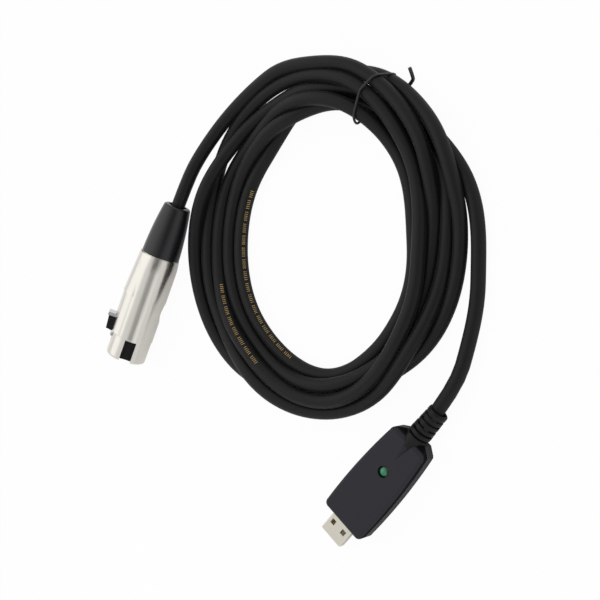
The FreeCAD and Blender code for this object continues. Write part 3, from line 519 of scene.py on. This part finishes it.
@dataclass(frozen=True)
class Finishes:
    """Every finish of the part, by the record's slot."""

    nickel: Colour = (0.71, 0.685, 0.635)
    steel: Colour = (0.6, 0.6, 0.6)

    def adapter_face(self) -> Pair:
        """Find the front face of the adapter's box.

        Returns:
            Its place along and across the adapter's own heading, in millimetres.
        """
        heading = math.radians(Axis.ADAPTER.value)
        x, y = ADAPTER_FACE
        return x * math.cos(heading) + y * math.sin(heading), -x * math.sin(heading) + y * math.cos(heading)

    def by_slot(self) -> dict[str, Material]:
        """Build every finish.

        Returns:
            The materials by slot.
        """
        audio = Axis.AUDIO.value
        adapter = Axis.ADAPTER.value
        along, across = self.adapter_face()
        finishes = {
            "cable_jacket": Jacket("jacket", (0.0075, 0.0075, 0.0085)),
            "tie_cover": Moulded("tie cover", (0.009, 0.009, 0.01), 0.35, shine=0.5),
            "nickel": SatinMetal("satin nickel", self.nickel, 0.23, audio),
            "black_insert": Moulded("insert plastic", (0.004, 0.004, 0.0045), 0.45),
            "gold_contact": SatinMetal("contact gold", (0.75, 0.52, 0.2), 0.22, audio),
            "spring_steel": SatinMetal("spring steel", self.steel, 0.25, audio),
            "steel": SatinMetal("turned steel", self.steel, 0.28, audio),
            "black_button": Moulded("button plastic", (0.004, 0.004, 0.004), 0.4),
            "boot_black": Moulded("boot plastic", (0.0062, 0.0064, 0.0082), 0.3, grain=0.015, shine=0.5),
            "clamp_grey": Moulded("clamp plastic", (0.1, 0.1, 0.105), 0.5),
            "wire_red": Moulded("red insulation", (0.35, 0.01, 0.008), 0.4),
            "wire_white": Moulded("white insulation", (0.7, 0.7, 0.66), 0.4),
            "wire_copper": SatinMetal(
                "bare copper", (0.7, 0.33, 0.18), 0.3, audio, stretch=(1.0, 0.3, 0.3), marks=0.2
            ),
            "case_grey": SplitShell(
                "case plastic", (0.0192, 0.0178, 0.024), 0.5, grain=0.03, grain_scale=1900.0, mottle=0.08, shine=0.25
            ),
            "lens_green": PaintedGlowLens(
                "lamp lens", (0.004, 0.16, 0.06), (0.1, 0.9, 0.45), adapter, (along - LENS_BACK, across)
            ),
            "board_green": Board("board", (0.01, 0.09, 0.03), (0.03, 0.16, 0.05)),
            "lamp_white": Moulded("lamp resin", (0.75, 0.78, 0.7), 0.2),
            "chip_black": Moulded("chip resin", (0.012, 0.012, 0.012), 0.55),
            "can_silver": SatinMetal("drawn can", (0.75, 0.75, 0.76), 0.25, adapter),
            "plug_steel": SatinMetal("plug shell", (0.68, 0.64, 0.56), 0.27, adapter),
            "tongue_white": Moulded("tongue plastic", (0.72, 0.72, 0.69), 0.45),
            "relief_black": GroovedRubber(
                "relief rubber", (0.0042, 0.0042, 0.0046), 0.42, axis=(across, ADAPTER_AXIS_HEIGHT), turn=adapter
            ),
        }
        return {slot: finish.build() for slot, finish in finishes.items()}


# Repeats


class Recipe(Tree):
    """A Geometry Nodes tree that makes one piece."""

    def __init__(self, name: str) -> None:
        """Start a tree with nothing in it.

        Args:
            name: The tree's name.
        """
        self.tree = bpy.data.node_groups.new(name, "GeometryNodeTree")
        self.tree.interface.new_socket("Geometry", in_out="OUTPUT", socket_type="NodeSocketGeometry")
        self.source = self.tree.nodes.new("NodeGroupInput")
        self.result = self.tree.nodes.new("NodeGroupOutput")
        self.values: dict[str, float | int] = {}

    def size(self, name: str, value: float | int) -> Wire:
        """Add a named input for a size.

        Args:
            name: The input's name.
            value: What the modifier gets for it.

        Returns:
            The input as the tree's nodes read it.
        """
        kind = "NodeSocketInt" if isinstance(value, int) else "NodeSocketFloat"
        entry = self.tree.interface.new_socket(name, in_out="INPUT", socket_type=kind)
        self.values[entry.identifier] = value
        return Wire(self, self.source.outputs[name])

    def spots(self) -> Wire:
        """Add an input for the points that the piece is given to start from."""
        self.tree.interface.new_socket("Spots", in_out="INPUT", socket_type="NodeSocketGeometry")
        return Wire(self, self.source.outputs["Spots"])

    def turns(self, name: str) -> Wire:
        """Return a vector that each starting point carries."""
        return self.node("GeometryNodeInputNamedAttribute", {"data_type": "FLOAT_VECTOR"}, {"Name": name})

    def copies(self, points: Wire, item: Wire, **inputs: object) -> Wire:
        """Put an item on each point, with the Rotation and Scale that are given."""
        return self.node("GeometryNodeInstanceOnPoints", {}, {"Points": points, "Instance": item, **inputs})

    def make(
        self, name: str, shape: Wire, finish: Material, place: Matrix, start: bpy.types.Mesh | None = None
    ) -> bpy.types.Object:
        """Run the tree and keep its result as a plain mesh.

        Args:
            name: The piece's name.
            shape: The geometry.
            finish: The material.
            place: The place of the piece's own frame.
            start: The points that the piece starts from, if any.

        Returns:
            The piece, with no modifier left.
        """
        real = self.node("GeometryNodeRealizeInstances", {}, {0: shape})
        dressed = self.node("GeometryNodeSetMaterial", {}, {0: real, "Material": finish})
        self.put(self.result.inputs[0], dressed)
        piece = in_scene(name, start or bpy.data.meshes.new(name))
        modifier = piece.modifiers.new("recipe", "NODES")
        modifier.node_group = self.tree
        for identifier, value in self.values.items():
            modifier[identifier] = value
        graph = bpy.context.evaluated_depsgraph_get()
        mesh = bpy.data.meshes.new_from_object(piece.evaluated_get(graph))
        piece.modifiers.clear()
        piece.data = mesh
        mesh.transform(place)
        return piece


# Adapter


@dataclass
class StrainRelief:
    """Rubber sleeve behind the adapter's box: collar, ribs with bridges between them, and the block in the box.

    Lengths are in millimetres in the adapter's own frame, where the sleeve runs along -X from the neck in the
    box to the rim. Mouth, lip and heel are the rounded edges of the collar, at its hole, its rim and its first
    groove, as steps along the axis and outwards.
    """

    rim: float = -66.6
    block_end: float = -46.7
    neck_end: float = -45.2
    first_groove: float = 2.3
    pitch: float = 2.75
    groove: float = 0.85
    ribs: int = 4
    rim_radius: float = 4.6
    rib_rise: float = 0.1
    rib_root: float = 0.3
    growth: float = 0.03
    core_radius: float = 4.1
    hole_radius: float = 3.32
    hole_depth: float = 1.6
    bore_radius: float = 3.0
    mouth: tuple[Pair, ...] = ((0.5, 0.0), (0.12, 0.12), (0.0, 0.4))
    lip: tuple[Pair, ...] = ((0.0, -0.65), (0.12, -0.3), (0.35, -0.1), (0.7, 0.0))
    heel: tuple[Pair, ...] = ((-0.2, 0.03), (0.0, -0.12))
    slope: float = 0.05
    rounding: float = 0.3
    rounding_steps: int = 3
    bridge: float = 2.3
    bridge_tilt: float = -25.0
    bridge_overlap: float = 0.5
    bridge_drop: float = 0.2
    block_radius: float = 5.2
    block_edge: float = 0.25
    block_slope: float = 0.2
    block_floor: float = 1.2
    segments: int = 72
    rib_segments: int = 64

    def profile(self) -> list[Pair]:
        """Work out the outline of collar, core and block.

        Returns:
            Its corners as places along the axis and radii.
        """
        collar = self.rim + self.first_groove
        last = collar + self.pitch * self.ribs + self.groove
        return [
            (self.rim + self.hole_depth, self.bore_radius),
            *((self.rim + step, self.hole_radius + rise) for step, rise in self.mouth),
            *((self.rim + step, self.rim_radius + rise) for step, rise in self.lip),
            *((collar + step, self.rim_radius + rise) for step, rise in self.heel),
            (collar + self.slope, self.core_radius), (last - self.slope, self.core_radius),
            (last, self.block_radius - self.block_edge), (last + self.block_edge, self.block_radius),
            (self.block_end, self.block_radius), (self.block_end + self.block_slope, self.core_radius),
            (self.neck_end, self.core_radius), (self.neck_end, self.bore_radius),
        ]

    def body(self, finish: Material) -> bpy.types.Object:
        """Turn the outline about the axis.

        Args:
            finish: The rubber.

        Returns:
            Collar, core and block as one piece.
        """
        shape = bmesh.new()
        rings = []
        for x, r in self.profile():
            ring = []
            for k in range(self.segments):
                a = math.tau * k / self.segments
                z = ADAPTER_AXIS_HEIGHT + r * math.cos(a)
                z = max(z, self.block_floor) if r >= self.block_radius else z
                ring.append(shape.verts.new((x, r * math.sin(a), z)))
            rings.append(ring)
        for first, second in zip(rings, rings[1:] + rings[:1]):
            for k in range(self.segments):
                shape.faces.new((first[k], first[k - 1], second[k - 1], second[k]))
        bmesh.ops.recalc_face_normals(shape, faces=shape.faces)
        mesh = bpy.data.meshes.new("relief_body")
        shape.to_mesh(mesh)
        shape.free()
        mesh.transform(adapter_place())
        mesh.materials.append(finish)
        mesh.polygons.foreach_set("use_smooth", [True] * len(mesh.polygons))
        mesh.set_sharp_from_angle(angle=CREASE)
        return in_scene("relief_body", mesh)

    def ring_row(self, finish: Material) -> bpy.types.Object:
        """Make the ribs and the bridges across their grooves.

        Args:
            finish: The rubber.

        Returns:
            All of them as one piece.
        """
        g = Recipe("relief ribs")
        count = g.size("Ribs", self.ribs)
        pitch = g.size("Pitch", self.pitch)
        growth = g.size("Growth", self.growth)
        rib_radius = self.rim_radius + self.rib_rise
        radius = g.size("Radius", rib_radius)
        wall = g.size("Wall", rib_radius - self.core_radius + self.rib_root)
        width = g.size("Width", self.pitch - self.groove)
        index = g.node("GeometryNodeInputIndex", {}, {})
        larger = index * growth + 1.0
        round_ = {"Resolution": self.rib_segments, "Radius": radius - wall * 0.5}
        circle = g.node("GeometryNodeCurvePrimitiveCircle", {}, round_)
        section = g.node("GeometryNodeCurvePrimitiveQuadrilateral", {}, {"Width": wall, "Height": width})
        section = g.node(
            "GeometryNodeFilletCurve",
            {"mode": "POLY"},
            {"Curve": section, "Radius": self.rounding, "Count": self.rounding_steps},
        )
        rib = g.node("GeometryNodeCurveToMesh", {}, {"Curve": circle, "Profile Curve": section})
        rib = g.node("GeometryNodeTransform", {}, {"Geometry": rib, "Rotation": (0.0, math.pi / 2, 0.0)})
        size = (self.groove + self.bridge_overlap, self.bridge, 2 * self.rim_radius - self.bridge_drop)
        block = g.node("GeometryNodeMeshCube", {}, {"Size": size})
        groove_start = self.rim + self.first_groove
        starts = (groove_start + self.groove + (self.pitch - self.groove) / 2, groove_start + self.groove / 2)
        rib_row, web_row = (
            g.node(
                "GeometryNodeMeshLine",
                {},
                {"Count": count, "Start Location": (x, 0.0, ADAPTER_AXIS_HEIGHT), "Offset": g.vector(pitch, 0.0, 0.0)},
            )
            for x in starts
        )
        turn = index.remainder(2.0) * (math.pi / 2) + math.radians(self.bridge_tilt)
        ribs = g.copies(rib_row, rib, Scale=g.vector(1.0, larger, larger))
        webs = g.copies(web_row, block, Rotation=g.vector(turn, 0.0, 0.0), Scale=g.vector(1.0, 1.0, larger))
        both = g.node("GeometryNodeJoinGeometry", {}, {0: [ribs, webs]})
        smooth = g.node("GeometryNodeSetShadeSmooth", {}, {"Geometry": both, "Shade Smooth": True})
        piece = g.make("relief_ribs", smooth, finish, adapter_place())
        piece.data.set_sharp_from_angle(angle=CREASE)
        return piece

    def build(self, finish: Material) -> list[bpy.types.Object]:
        """Return the sleeve's pieces."""
        return [self.body(finish), self.ring_row(finish)]


# Cable


def tube(
    name: str, runs: list[tuple[list[Vector], bool, float]], radius: float, detail: tuple[int, int], finish: Material
) -> bpy.types.Object:
    """Make a round line.

    Args:
        name: The piece's name.
        runs: For each run its control points in metres, whether it is closed, and how many times as thick it is.
        radius: The line's radius in millimetres.
        detail: The resolution round the line and along it.
        finish: The material.

    Returns:
        The line as one curve.
    """
    curve = bpy.data.curves.new(name, "CURVE")
    curve.dimensions = "3D"
    curve.bevel_depth = radius * MM
    curve.bevel_resolution, curve.resolution_u = detail
    curve.use_fill_caps = True
    for points, closed, thickness in runs:
        spline = curve.splines.new("NURBS")
        spline.points.add(len(points) - 1)
        for target, point in zip(spline.points, points):
            target.co = (*point, 1.0)
            target.radius = thickness
        spline.order_u = 3
        spline.use_cyclic_u = closed
        spline.use_endpoint_u = not closed
    curve.materials.append(finish)
    return in_scene(name, curve)


@dataclass
class CoiledCable:
    """The whole cable: audio lead, wound coil and adapter lead, as one line.

    The lay gives the cable's distance from the coil's middle in millimetres, and its layer, at each eighth
    of a turn from the top of the coil, clockwise as seen from above. A nudge names a station of the lay, how
    much further out the cable runs there, and how many layers higher. The fields from fall to least govern how
    the strands settle, step by step: how far they sink and are drawn back, how many points along the cable
    don't press on each other, when and how far the steps calm down, how much they even out, how near counts as
    beside, and the least distance that is reckoned with.
    """

    diameter: float = 6.4
    centre: Pair = (31.05, 57.93)
    steps: int = 9
    keep: int = 2
    layer: float = 6.4
    clearance: float = 6.34
    rounds: int = 260
    fall: float = 0.05
    pull: float = 0.02
    neighbours: int = 8
    calm_from: float = 0.8
    calm: float = 0.3
    evening: float = 0.35
    beside: float = 0.6
    least: float = 0.05
    detail: tuple[int, int] = (7, 5)
    line: np.ndarray = field(init=False)
    lay: tuple[Pair, ...] = (
        (76.6, 1.0), (62.1, 1.3), (48.2, 0.0), (55.6, 0.5), (64.8, 1.0), (59.8, 0.5), (53.8, 0.0), (54.8, 0.5),
        (60.8, 0.6), (58.0, 0.0), (55.4, 0.0), (62.7, 0.9), (76.4, 0.0), (69.0, 0.1), (66.6, 0.0), (74.0, 0.3),
        (71.4, 1.6), (55.3, 1.5), (46.8, 1.0), (55.5, 1.8), (72.0, 1.0), (65.3, 1.1), (61.4, 0.0), (62.3, 0.0),
        (60.6, 1.6), (47.9, 0.6), (42.2, 0.0), (49.2, 0.0), (63.6, 0.0), (54.9, 0.0), (48.6, 0.0), (54.0, 0.0),
        (74.0, 0.0), (71.6, 0.7), (62.8, 0.0), (66.4, 0.0), (68.3, 0.0), (75.6, 0.0), (73.0, 0.7), (66.6, 0.7),
        (65.8, 0.5), (67.6, 0.0), (70.6, 0.0),
    )
    nudges: tuple[Point, ...] = (
        (31.5, -4.8, 0.0), (12.5, 0.0, 1.0), (14.5, -3.4, 0.0), (38.6, -2.0, 0.4), (9.3, 2.5, 0.0), (1.3, 1.5, 0.0),
        (33.4, -1.0, 0.0), (11.3, -0.8, 0.0), (8.6, -1.4, 0.0), (41.0, -2.3, 0.0), (32.6, -1.3, 0.0), (0.7, 0.3, 0.0),
        (24.6, 1.2, 0.0), (16.4, 0.6, 0.0), (39.33, -1.0, -0.7),
    )
    audio_lead: tuple[Point, ...] = (
        (-56.34, 56.62, 9.9), (-43.3, 85.84, 9.9), (-35.0, 99.8, 8.2), (-22.6, 115.3, 5.6), (-6.9, 127.6, 5.4),
        (8.9, 134.8, 8.0),
    )
    adapter_lead: tuple[Point, ...] = (
        (101.6, 45.0, 3.2), (101.2, 30.5, 3.2), (98.05, 15.13, 3.2), (91.86, -7.97, 5.3), (69.31, -33.02, 5.3),
    )

    def guide(self) -> np.ndarray:
        """Lay the coil on a smooth line through the rows of the lay.

        Returns:
            The coil's points before they settle, in millimetres.
        """
        table = np.array(self.lay)
        count = len(table) - 1
        points = []
        for i in range(count * self.steps + 1):
            place = i / self.steps
            k = min(i // self.steps, count - 1)
            t = place - k
            a, b, c, d = (table[max(0, min(count, k + j))] for j in (-1, 0, 1, 2))
            square = 2 * a - 5 * b + 4 * c - d
            cube = 3 * b - a - 3 * c + d
            rho, level = 0.5 * (2 * b + (c - a) * t + square * t * t + cube * t**3)
            for station, widen, lift in self.nudges:
                near = max(0.0, math.cos(math.pi / 2 * min(1.0, abs(place - station)))) ** 2
                rho += widen * near
                level += lift * near
            angle = math.pi / 2 - math.pi / 4 * i / self.steps
            x = self.centre[0] + rho * math.cos(angle)
            y = self.centre[1] + rho * math.sin(angle)
            points.append((x, y, self.diameter / 2 + self.layer * max(0.0, level)))
        return np.array(points)

    def settle(self, guide: np.ndarray) -> np.ndarray:
        """Let the strands push each other apart and sink until they rest.

        Args:
            guide: Points of the line as laid.

        Returns:
            The points where no strand runs through another.
        """
        points = guide.copy()
        count = len(points)
        index = np.arange(count)
        apart = np.abs(index[:, None] - index[None, :]) > self.neighbours
        spacing = float(np.mean(np.linalg.norm(np.diff(guide, axis=0), axis=1)))
        for step in range(self.rounds):
            calm = 1.0 if step < self.rounds * self.calm_from else self.calm
            points[1:-1, 2] -= self.fall * calm
            points[1:-1, :2] += (guide[1:-1, :2] - points[1:-1, :2]) * self.pull
            drift = points - guide
            drift[1:-1] += self.evening * (0.5 * (drift[:-2] + drift[2:]) - drift[1:-1])
            points = guide + drift
            tangent = np.gradient(points, axis=0)
            tangent /= np.linalg.norm(tangent, axis=1)[:, None]
            gap = points[:, None, :] - points[None, :, :]
            along = np.einsum("ijk,jk->ij", gap, tangent)
            across = gap - along[:, :, None] * tangent[None, :, :]
            distance = np.linalg.norm(across, axis=2)
            close = apart & (np.abs(along) < self.beside * spacing) & (distance < self.clearance)
            rows, columns = np.nonzero(close)
            reach = np.maximum(distance[rows, columns], self.least)
            push = across[rows, columns] / reach[:, None] * (self.clearance - reach)[:, None] * 0.5
            move = np.zeros_like(points)
            hits = np.zeros(count)
            np.add.at(move, rows, push)
            np.add.at(hits, rows, 1.0)
            points[1:-1] += (move / np.maximum(hits, 1.0)[:, None])[1:-1]
            points[:, 2] = np.maximum(points[:, 2], self.diameter / 2)
        return points

    def route(self) -> list[Vector]:
        """Join the settled coil and the two leads, and keep the coil's own line.

        Returns:
            The control points of the whole line in metres.
        """
        self.line = self.settle(self.guide())[:: self.keep]
        points = [*self.audio_lead, *(tuple(p) for p in self.line), *self.adapter_lead]
        return [metres(tuple(float(c) for c in p)) for p in points]

    def build(self, finish: Material) -> bpy.types.Object:
        """Make the cable.

        Args:
            finish: The jacket's material.

        Returns:
            The cable as one curve.
        """
        return tube("cable", [(self.route(), False, 1.0)], self.diameter / 2, self.detail, finish)


@dataclass
class WireTie:
    """Plastic covered wire drawn tight round the bundle, with its two ends twisted together.

    It stands on a line from inner to outer, which bows sideways. Strands up to its reach beyond them count
    as held, and it keeps its slack from them.
    """

    inner: Pair = (48.6, 111.4)
    outer: Pair = (67.8, 127.4)
    bow: float = 4.6
    radius: float = 0.55
    reach: float = 12.0
    slack: float = 0.05
    sides: int = 24
    tail: tuple[Point, ...] = ((67.0, 120.5, 0.8), (70.9, 123.6, 1.2), (71.2, 125.2, 2.2), (70.8, 128.7, 4.5))
    twisted: float = 1.5
    detail: tuple[int, int] = (4, 3)

    def bend(self, share: np.ndarray | float) -> np.ndarray | float:
        """Return how far the wire strays sideways at a share of its way across, in millimetres."""
        return self.bow * 4 * share * (1 - share)

    def crossings(self, line: np.ndarray) -> list[Pair]:
        """Find where the cable passes through the tie.

        Args:
            line: The cable's line in millimetres.

        Returns:
            Each place as a distance along the tie's own line and a height.
        """
        start = np.array(self.inner)
        span = np.array(self.outer) - start
        length = float(np.linalg.norm(span))
        along = span / length
        side = np.array((-along[1], along[0]))
        flat = line[:, :2] - start
        travel = flat @ along
        across = flat @ side - self.bend(travel / length)
        found = []
        for i in np.nonzero(across[:-1] * across[1:] < 0)[0]:
            t = across[i] / (across[i] - across[i + 1])
            place = travel[i] + (travel[i + 1] - travel[i]) * t
            if -self.reach < place < length + self.reach:
                found.append((float(place), float(line[i, 2] + (line[i + 1, 2] - line[i, 2]) * t)))
        return found

    def loop(self, line: np.ndarray, cable_radius: float) -> list[Point]:
        """Draw the wire as tight as it goes round all strands.

        Args:
            line: The cable's line in millimetres.
            cable_radius: The cable's radius in millimetres.

        Returns:
            The corners of its path in millimetres.
        """
        offset = cable_radius + self.radius + self.slack
        cloud = []
        for place, height in self.crossings(line):
            for k in range(self.sides):
                a = math.tau * k / self.sides
                cloud.append((place + offset * math.cos(a), max(self.radius, height + offset * math.sin(a))))
        cloud = sorted(set(cloud))
        halves = []
        for ordered in (cloud, cloud[::-1]):
            hull: list[Pair] = []
            for p in ordered:
                while len(hull) > 1:
                    (ax, ay), (bx, by) = hull[-2:]
                    if (bx - ax) * (p[1] - ay) - (by - ay) * (p[0] - ax) > 0:
                        break
                    hull.pop()
                hull.append(p)
            halves += hull[:-1]
        start = Vector((*self.inner, 0))
        span = Vector((*self.outer, 0)) - start
        along = span.normalized()
        side = Vector((-along.y, along.x, 0))
        return [
            tuple(start + along * place + side * self.bend(place / span.length) + Vector((0, 0, height)))
            for place, height in halves
        ]

    def build(self, line: np.ndarray, cable_radius: float, finish: Material) -> bpy.types.Object:
        """Make the tie.

        Args:
            line: The cable's line in millimetres.
            cable_radius: The cable's radius in millimetres.
            finish: The wire's material.

        Returns:
            The tie as one curve with a closed loop and its twisted ends, which show as one thicker end.
        """
        loop = [metres(point) for point in self.loop(line, cable_radius)]
        tail = [metres(point) for point in self.tail]
        return tube("wire_tie", [(loop, True, 1.0), (tail, False, self.twisted)], self.radius, self.detail, finish)


@dataclass
class CablePrint:
    """Plain gold ticks printed on the jacket.

    Each run names the stations of the lay between which it lies and how far round the jacket it sits, in
    degrees from the side that faces the camera towards the inside of the coil. One tick in each skip is left
    out. The arc is the tick's length in degrees, and the sink is how far it reaches into the jacket.
    """

    runs: tuple[Point, ...] = ((28.55, 30.62, 24.0), (20.6, 21.45, 10.0))
    pitch: float = 0.95
    width: float = 0.22
    arc: float = 27.0
    arc_points: int = 6
    depth: float = 0.06
    sink: float = 0.02
    skip: int = 6

    def path(self, cable: bpy.types.Object) -> list[Vector]:
        """Read the cable's own smooth line.

        Args:
            cable: The cable's curve.

        Returns:
            Its points in metres.
        """
        bare = in_scene("bare", cable.data.copy())
        bare.data.bevel_depth = 0.0
        graph = bpy.context.evaluated_depsgraph_get()
        mesh = bpy.data.meshes.new_from_object(bare.evaluated_get(graph))
        points = [v.co.copy() for v in mesh.vertices]
        bpy.data.objects.remove(bare)
        bpy.data.meshes.remove(mesh)
        return points

    def spots(self, cable: bpy.types.Object, laid: CoiledCable, sight: Vector) -> bpy.types.Mesh:
        """Find where each tick goes and how it turns.

        Args:
            cable: The cable's curve.
            laid: The cable's lay.
            sight: The direction towards the camera.

        Returns:
            A mesh with one loose point for each tick, which carries its turn.
        """
        line = self.path(cable)
        places = np.array([tuple(p) for p in line]) / MM
        centre = Vector((*laid.centre, 0.0)) * MM
        found: list[tuple[Vector, Vector]] = []
        for first, last, round_ in self.runs:
            marks = [laid.line[min(len(laid.line) - 1, round(s * laid.steps / laid.keep))] for s in (first, last)]
            low, high = (int(np.argmin(np.linalg.norm(places - mark, axis=1))) for mark in marks)
            travelled, tick = 0.0, 0
            for i in range(low, high):
                step = line[i + 1] - line[i]
                travelled += step.length
                while travelled >= self.pitch * MM:
                    travelled -= self.pitch * MM
                    tick += 1
                    if tick % self.skip == 0:
                        continue
                    along = step.normalized()
                    spot = line[i + 1] - along * travelled
                    outward = (sight - along * sight.dot(along)).normalized()
                    inward = (centre - spot).normalized()
                    lean = math.radians(round_) * (1 if outward.cross(inward).dot(along) > 0 else -1)
                    outward = Matrix.Rotation(lean, 3, along) @ outward
                    turn = Matrix((outward, along.cross(outward), along)).transposed().to_euler()
                    found.append((spot, Vector(turn)))
        mesh = bpy.data.meshes.new("cable_print")
        mesh.from_pydata([spot for spot, _ in found], [], [])
        kept = mesh.attributes.new("turn", "FLOAT_VECTOR", "POINT")
        kept.data.foreach_set("vector", [c for _, turn in found for c in turn])
        return mesh

    def build(self, cable: bpy.types.Object, laid: CoiledCable, sight: Vector, finish: Material) -> bpy.types.Object:
        """Make the ticks.

        Args:
            cable: The cable's curve.
            laid: The cable's lay.
            sight: The direction towards the camera.
            finish: The ink.

        Returns:
            All ticks as one piece.
        """
        g = Recipe("cable print")
        spots = g.spots()
        radius = g.size("Radius", (laid.diameter / 2 - self.sink + self.depth / 2) * MM)
        sweep = g.size("Sweep", math.radians(self.arc))
        width = g.size("Width", self.width * MM)
        depth = g.size("Depth", self.depth * MM)
        arc = g.node(
            "GeometryNodeCurveArc",
            {"mode": "RADIUS"},
            {
                "Resolution": self.arc_points, "Radius": radius,
                "Start Angle": -math.radians(self.arc) / 2, "Sweep Angle": sweep,
            },
        )
        section = g.node("GeometryNodeCurvePrimitiveQuadrilateral", {}, {"Width": depth, "Height": width})
        tick = g.node("GeometryNodeCurveToMesh", {}, {"Curve": arc, "Profile Curve": section, "Fill Caps": True})
        points = g.node("GeometryNodeMeshToPoints", {}, {"Mesh": spots})
        ticks = g.copies(points, tick, Rotation=g.turns("turn"))
        return g.make("cable_print", ticks, finish, Matrix.Identity(4), self.spots(cable, laid, sight))


# Studio


@dataclass
class Studio:
    """Pale floor, soft lamps and the camera of the photograph.

    The camera looks at its aim. The floor that shiny pieces mirror is darker round the shady place, up to
    the shade's outer radius. Each lamp has its name, place, size and power, in metres and watts. The dims are
    the darker parts of the room: direction, angles of the inner and outer edge in degrees, and level.
    """

    aim: Point = (13.45, 30.63, 0.0)
    elevation: float = 58.0
    distance: float = 540.0
    lens: float = 71.93
    sensor: float = 36.0
    nearest: float = 0.01
    lamps: tuple[tuple[str, Point, float, float], ...] = (
        ("key", (-0.9, 0.5, 1.0), 1.6, 3.0), ("fill", (0.3, -0.9, 1.0), 1.4, 1.5),
    )
    floor: float = 6.0
    paper: float = 0.96
    shady: Point = (50.0, 0.0, 0.0)
    shade_inner: float = 100.0
    shade_outer: float = 150.0
    shade_level: float = 0.15
    pale: float = 0.85
    dims: tuple[tuple[Point, float, float, float], ...] = (
        ((0.53, 0.0, 0.848), 6.0, 34.0, 0.3), ((0.354, -0.394, 0.848), 9.0, 22.0, 0.08),
    )

    def sight(self) -> Vector:
        """Return the direction from the part to the camera."""
        tilt = math.radians(self.elevation)
        return Vector((math.cos(tilt), 0, math.sin(tilt)))

    def camera(self) -> None:
        """Place the camera as the photograph's was, with the picture's right along the part's +X."""
        up = Vector((0, 1, 0))
        back = self.sight()
        right = up.cross(back)
        data = bpy.data.cameras.new("camera")
        data.lens = self.lens
        data.sensor_width = self.sensor
        data.clip_start = self.nearest
        camera = in_scene("camera", data)
        turn = Matrix((right, up, back)).transposed().to_4x4()
        camera.matrix_world = Matrix.Translation(metres(Vector(self.aim) + back * self.distance)) @ turn
        bpy.context.scene.camera = camera

    def lamp(self, name: str, place: Point, size: float, power: float) -> None:
        """Add a soft lamp that looks at the middle of the part.

        Args:
            name: The lamp's name.
            place: Where it stands, in metres.
            size: Its width in metres.
            power: Its power in watts.
        """
        data = bpy.data.lights.new(name, "AREA")
        data.shape = "DISK"
        data.size = size
        data.energy = power
        spot = Vector(place)
        in_scene(name, data).matrix_world = Matrix.Translation(spot) @ spot.to_track_quat("Z", "Y").to_matrix().to_4x4()

    def backdrop(self) -> Material:
        """Make the floor matte, white to the camera, and darker under the part where something mirrors it.

        Returns:
            The material.
        """
        g = Graph("floor")
        g.set(Base_Color=(0.9, 0.9, 0.9, 1.0), Roughness=0.9, Specular_IOR_Level=0.0)
        seen = g.node("ShaderNodeLightPath", {}, {}, "Is Camera Ray")
        mirrored = g.node("ShaderNodeLightPath", {}, {}, "Is Glossy Ray")
        ends = {0: g.place(), 1: metres(self.shady)}
        apart = g.node("ShaderNodeVectorMath", {"operation": "DISTANCE"}, ends, "Value")
        bright = apart.between(self.shade_inner * MM, self.shade_outer * MM)
        open_floor = bright * (1 - self.shade_level) + self.shade_level
        g.cover((seen + mirrored * open_floor) * self.paper, g.node("ShaderNodeEmission", {}, {}))
        return g.material

    def room(self) -> None:
        """Make the world: even pale light, with the darker parts in it, and white to the camera."""
        world = bpy.data.worlds.new("room")
        bpy.context.scene.world = world
        g = Graph("room", world)
        heading = g.node("ShaderNodeTexCoord", {}, {}, "Generated")
        light = g.node("ShaderNodeRGB", {}, {})
        light.socket.default_value = shade((self.pale,) * 3)
        for stand, inner, outer, level in self.dims:
            facing = g.node("ShaderNodeVectorMath", {"operation": "DOT_PRODUCT"}, {0: heading, 1: stand}, "Value")
            dim = facing.between(math.cos(math.radians(outer)), math.cos(math.radians(inner)))
            light = g.mix(dim, light, shade((self.pale,) * 3, level))
        seen = g.node("ShaderNodeLightPath", {}, {}, "Is Camera Ray")
        g.set(Color=g.mix(seen, light, (1.0, 1.0, 1.0, 1.0)))

    def build(self) -> None:
        """Make the floor, the lamps, the world and the camera."""
        half = self.floor / 2
        mesh = bpy.data.meshes.new("floor")
        mesh.from_pydata([(-half, -half, 0), (half, -half, 0), (half, half, 0), (-half, half, 0)], [], [(0, 1, 2, 3)])
        mesh.materials.append(self.backdrop())
        floor = in_scene("floor", mesh)
        for lamp in self.lamps:
            self.lamp(*lamp)
        self.room()
        bpy.context.scene.view_settings.view_transform = "Standard"
        self.camera()


def main() -> None:
    """Build the part piece by piece."""
    logging.basicConfig(level=logging.INFO, format="%(message)s")
    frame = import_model()
    slots = {part["node"]: part["material_slot"] for part in frame["record"]["subparts"]}
    finishes = Finishes().by_slot()
    for name, node in frame["nodes"].items():
        node.data.materials.clear()
        node.data.materials.append(finishes[slots[name]])
    studio = Studio()
    studio.build()
    LOG.info("studio ready")

    cable = CoiledCable()
    line = cable.build(finishes["cable_jacket"])
    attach(line, "cable")
    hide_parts("cable_coil", "cable_xlr_lead", "cable_usb_lead")
    LOG.info("%s laid", line.name)
    tie = WireTie().build(cable.line, cable.diameter / 2, finishes["tie_cover"])
    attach(tie, "cable")
    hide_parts("twist_tie")
    LOG.info("%s drawn tight", tie.name)
    marks = CablePrint().build(line, cable, studio.sight(), finishes["gold_contact"])
    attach(marks, "cable")
    LOG.info("%s printed", marks.name)

    for piece in StrainRelief().build(finishes["relief_black"]):
        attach(piece, "cable")
        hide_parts("usb_strain_relief")
        LOG.info("%s made", piece.name)


if __name__ == "__main__":
    main()
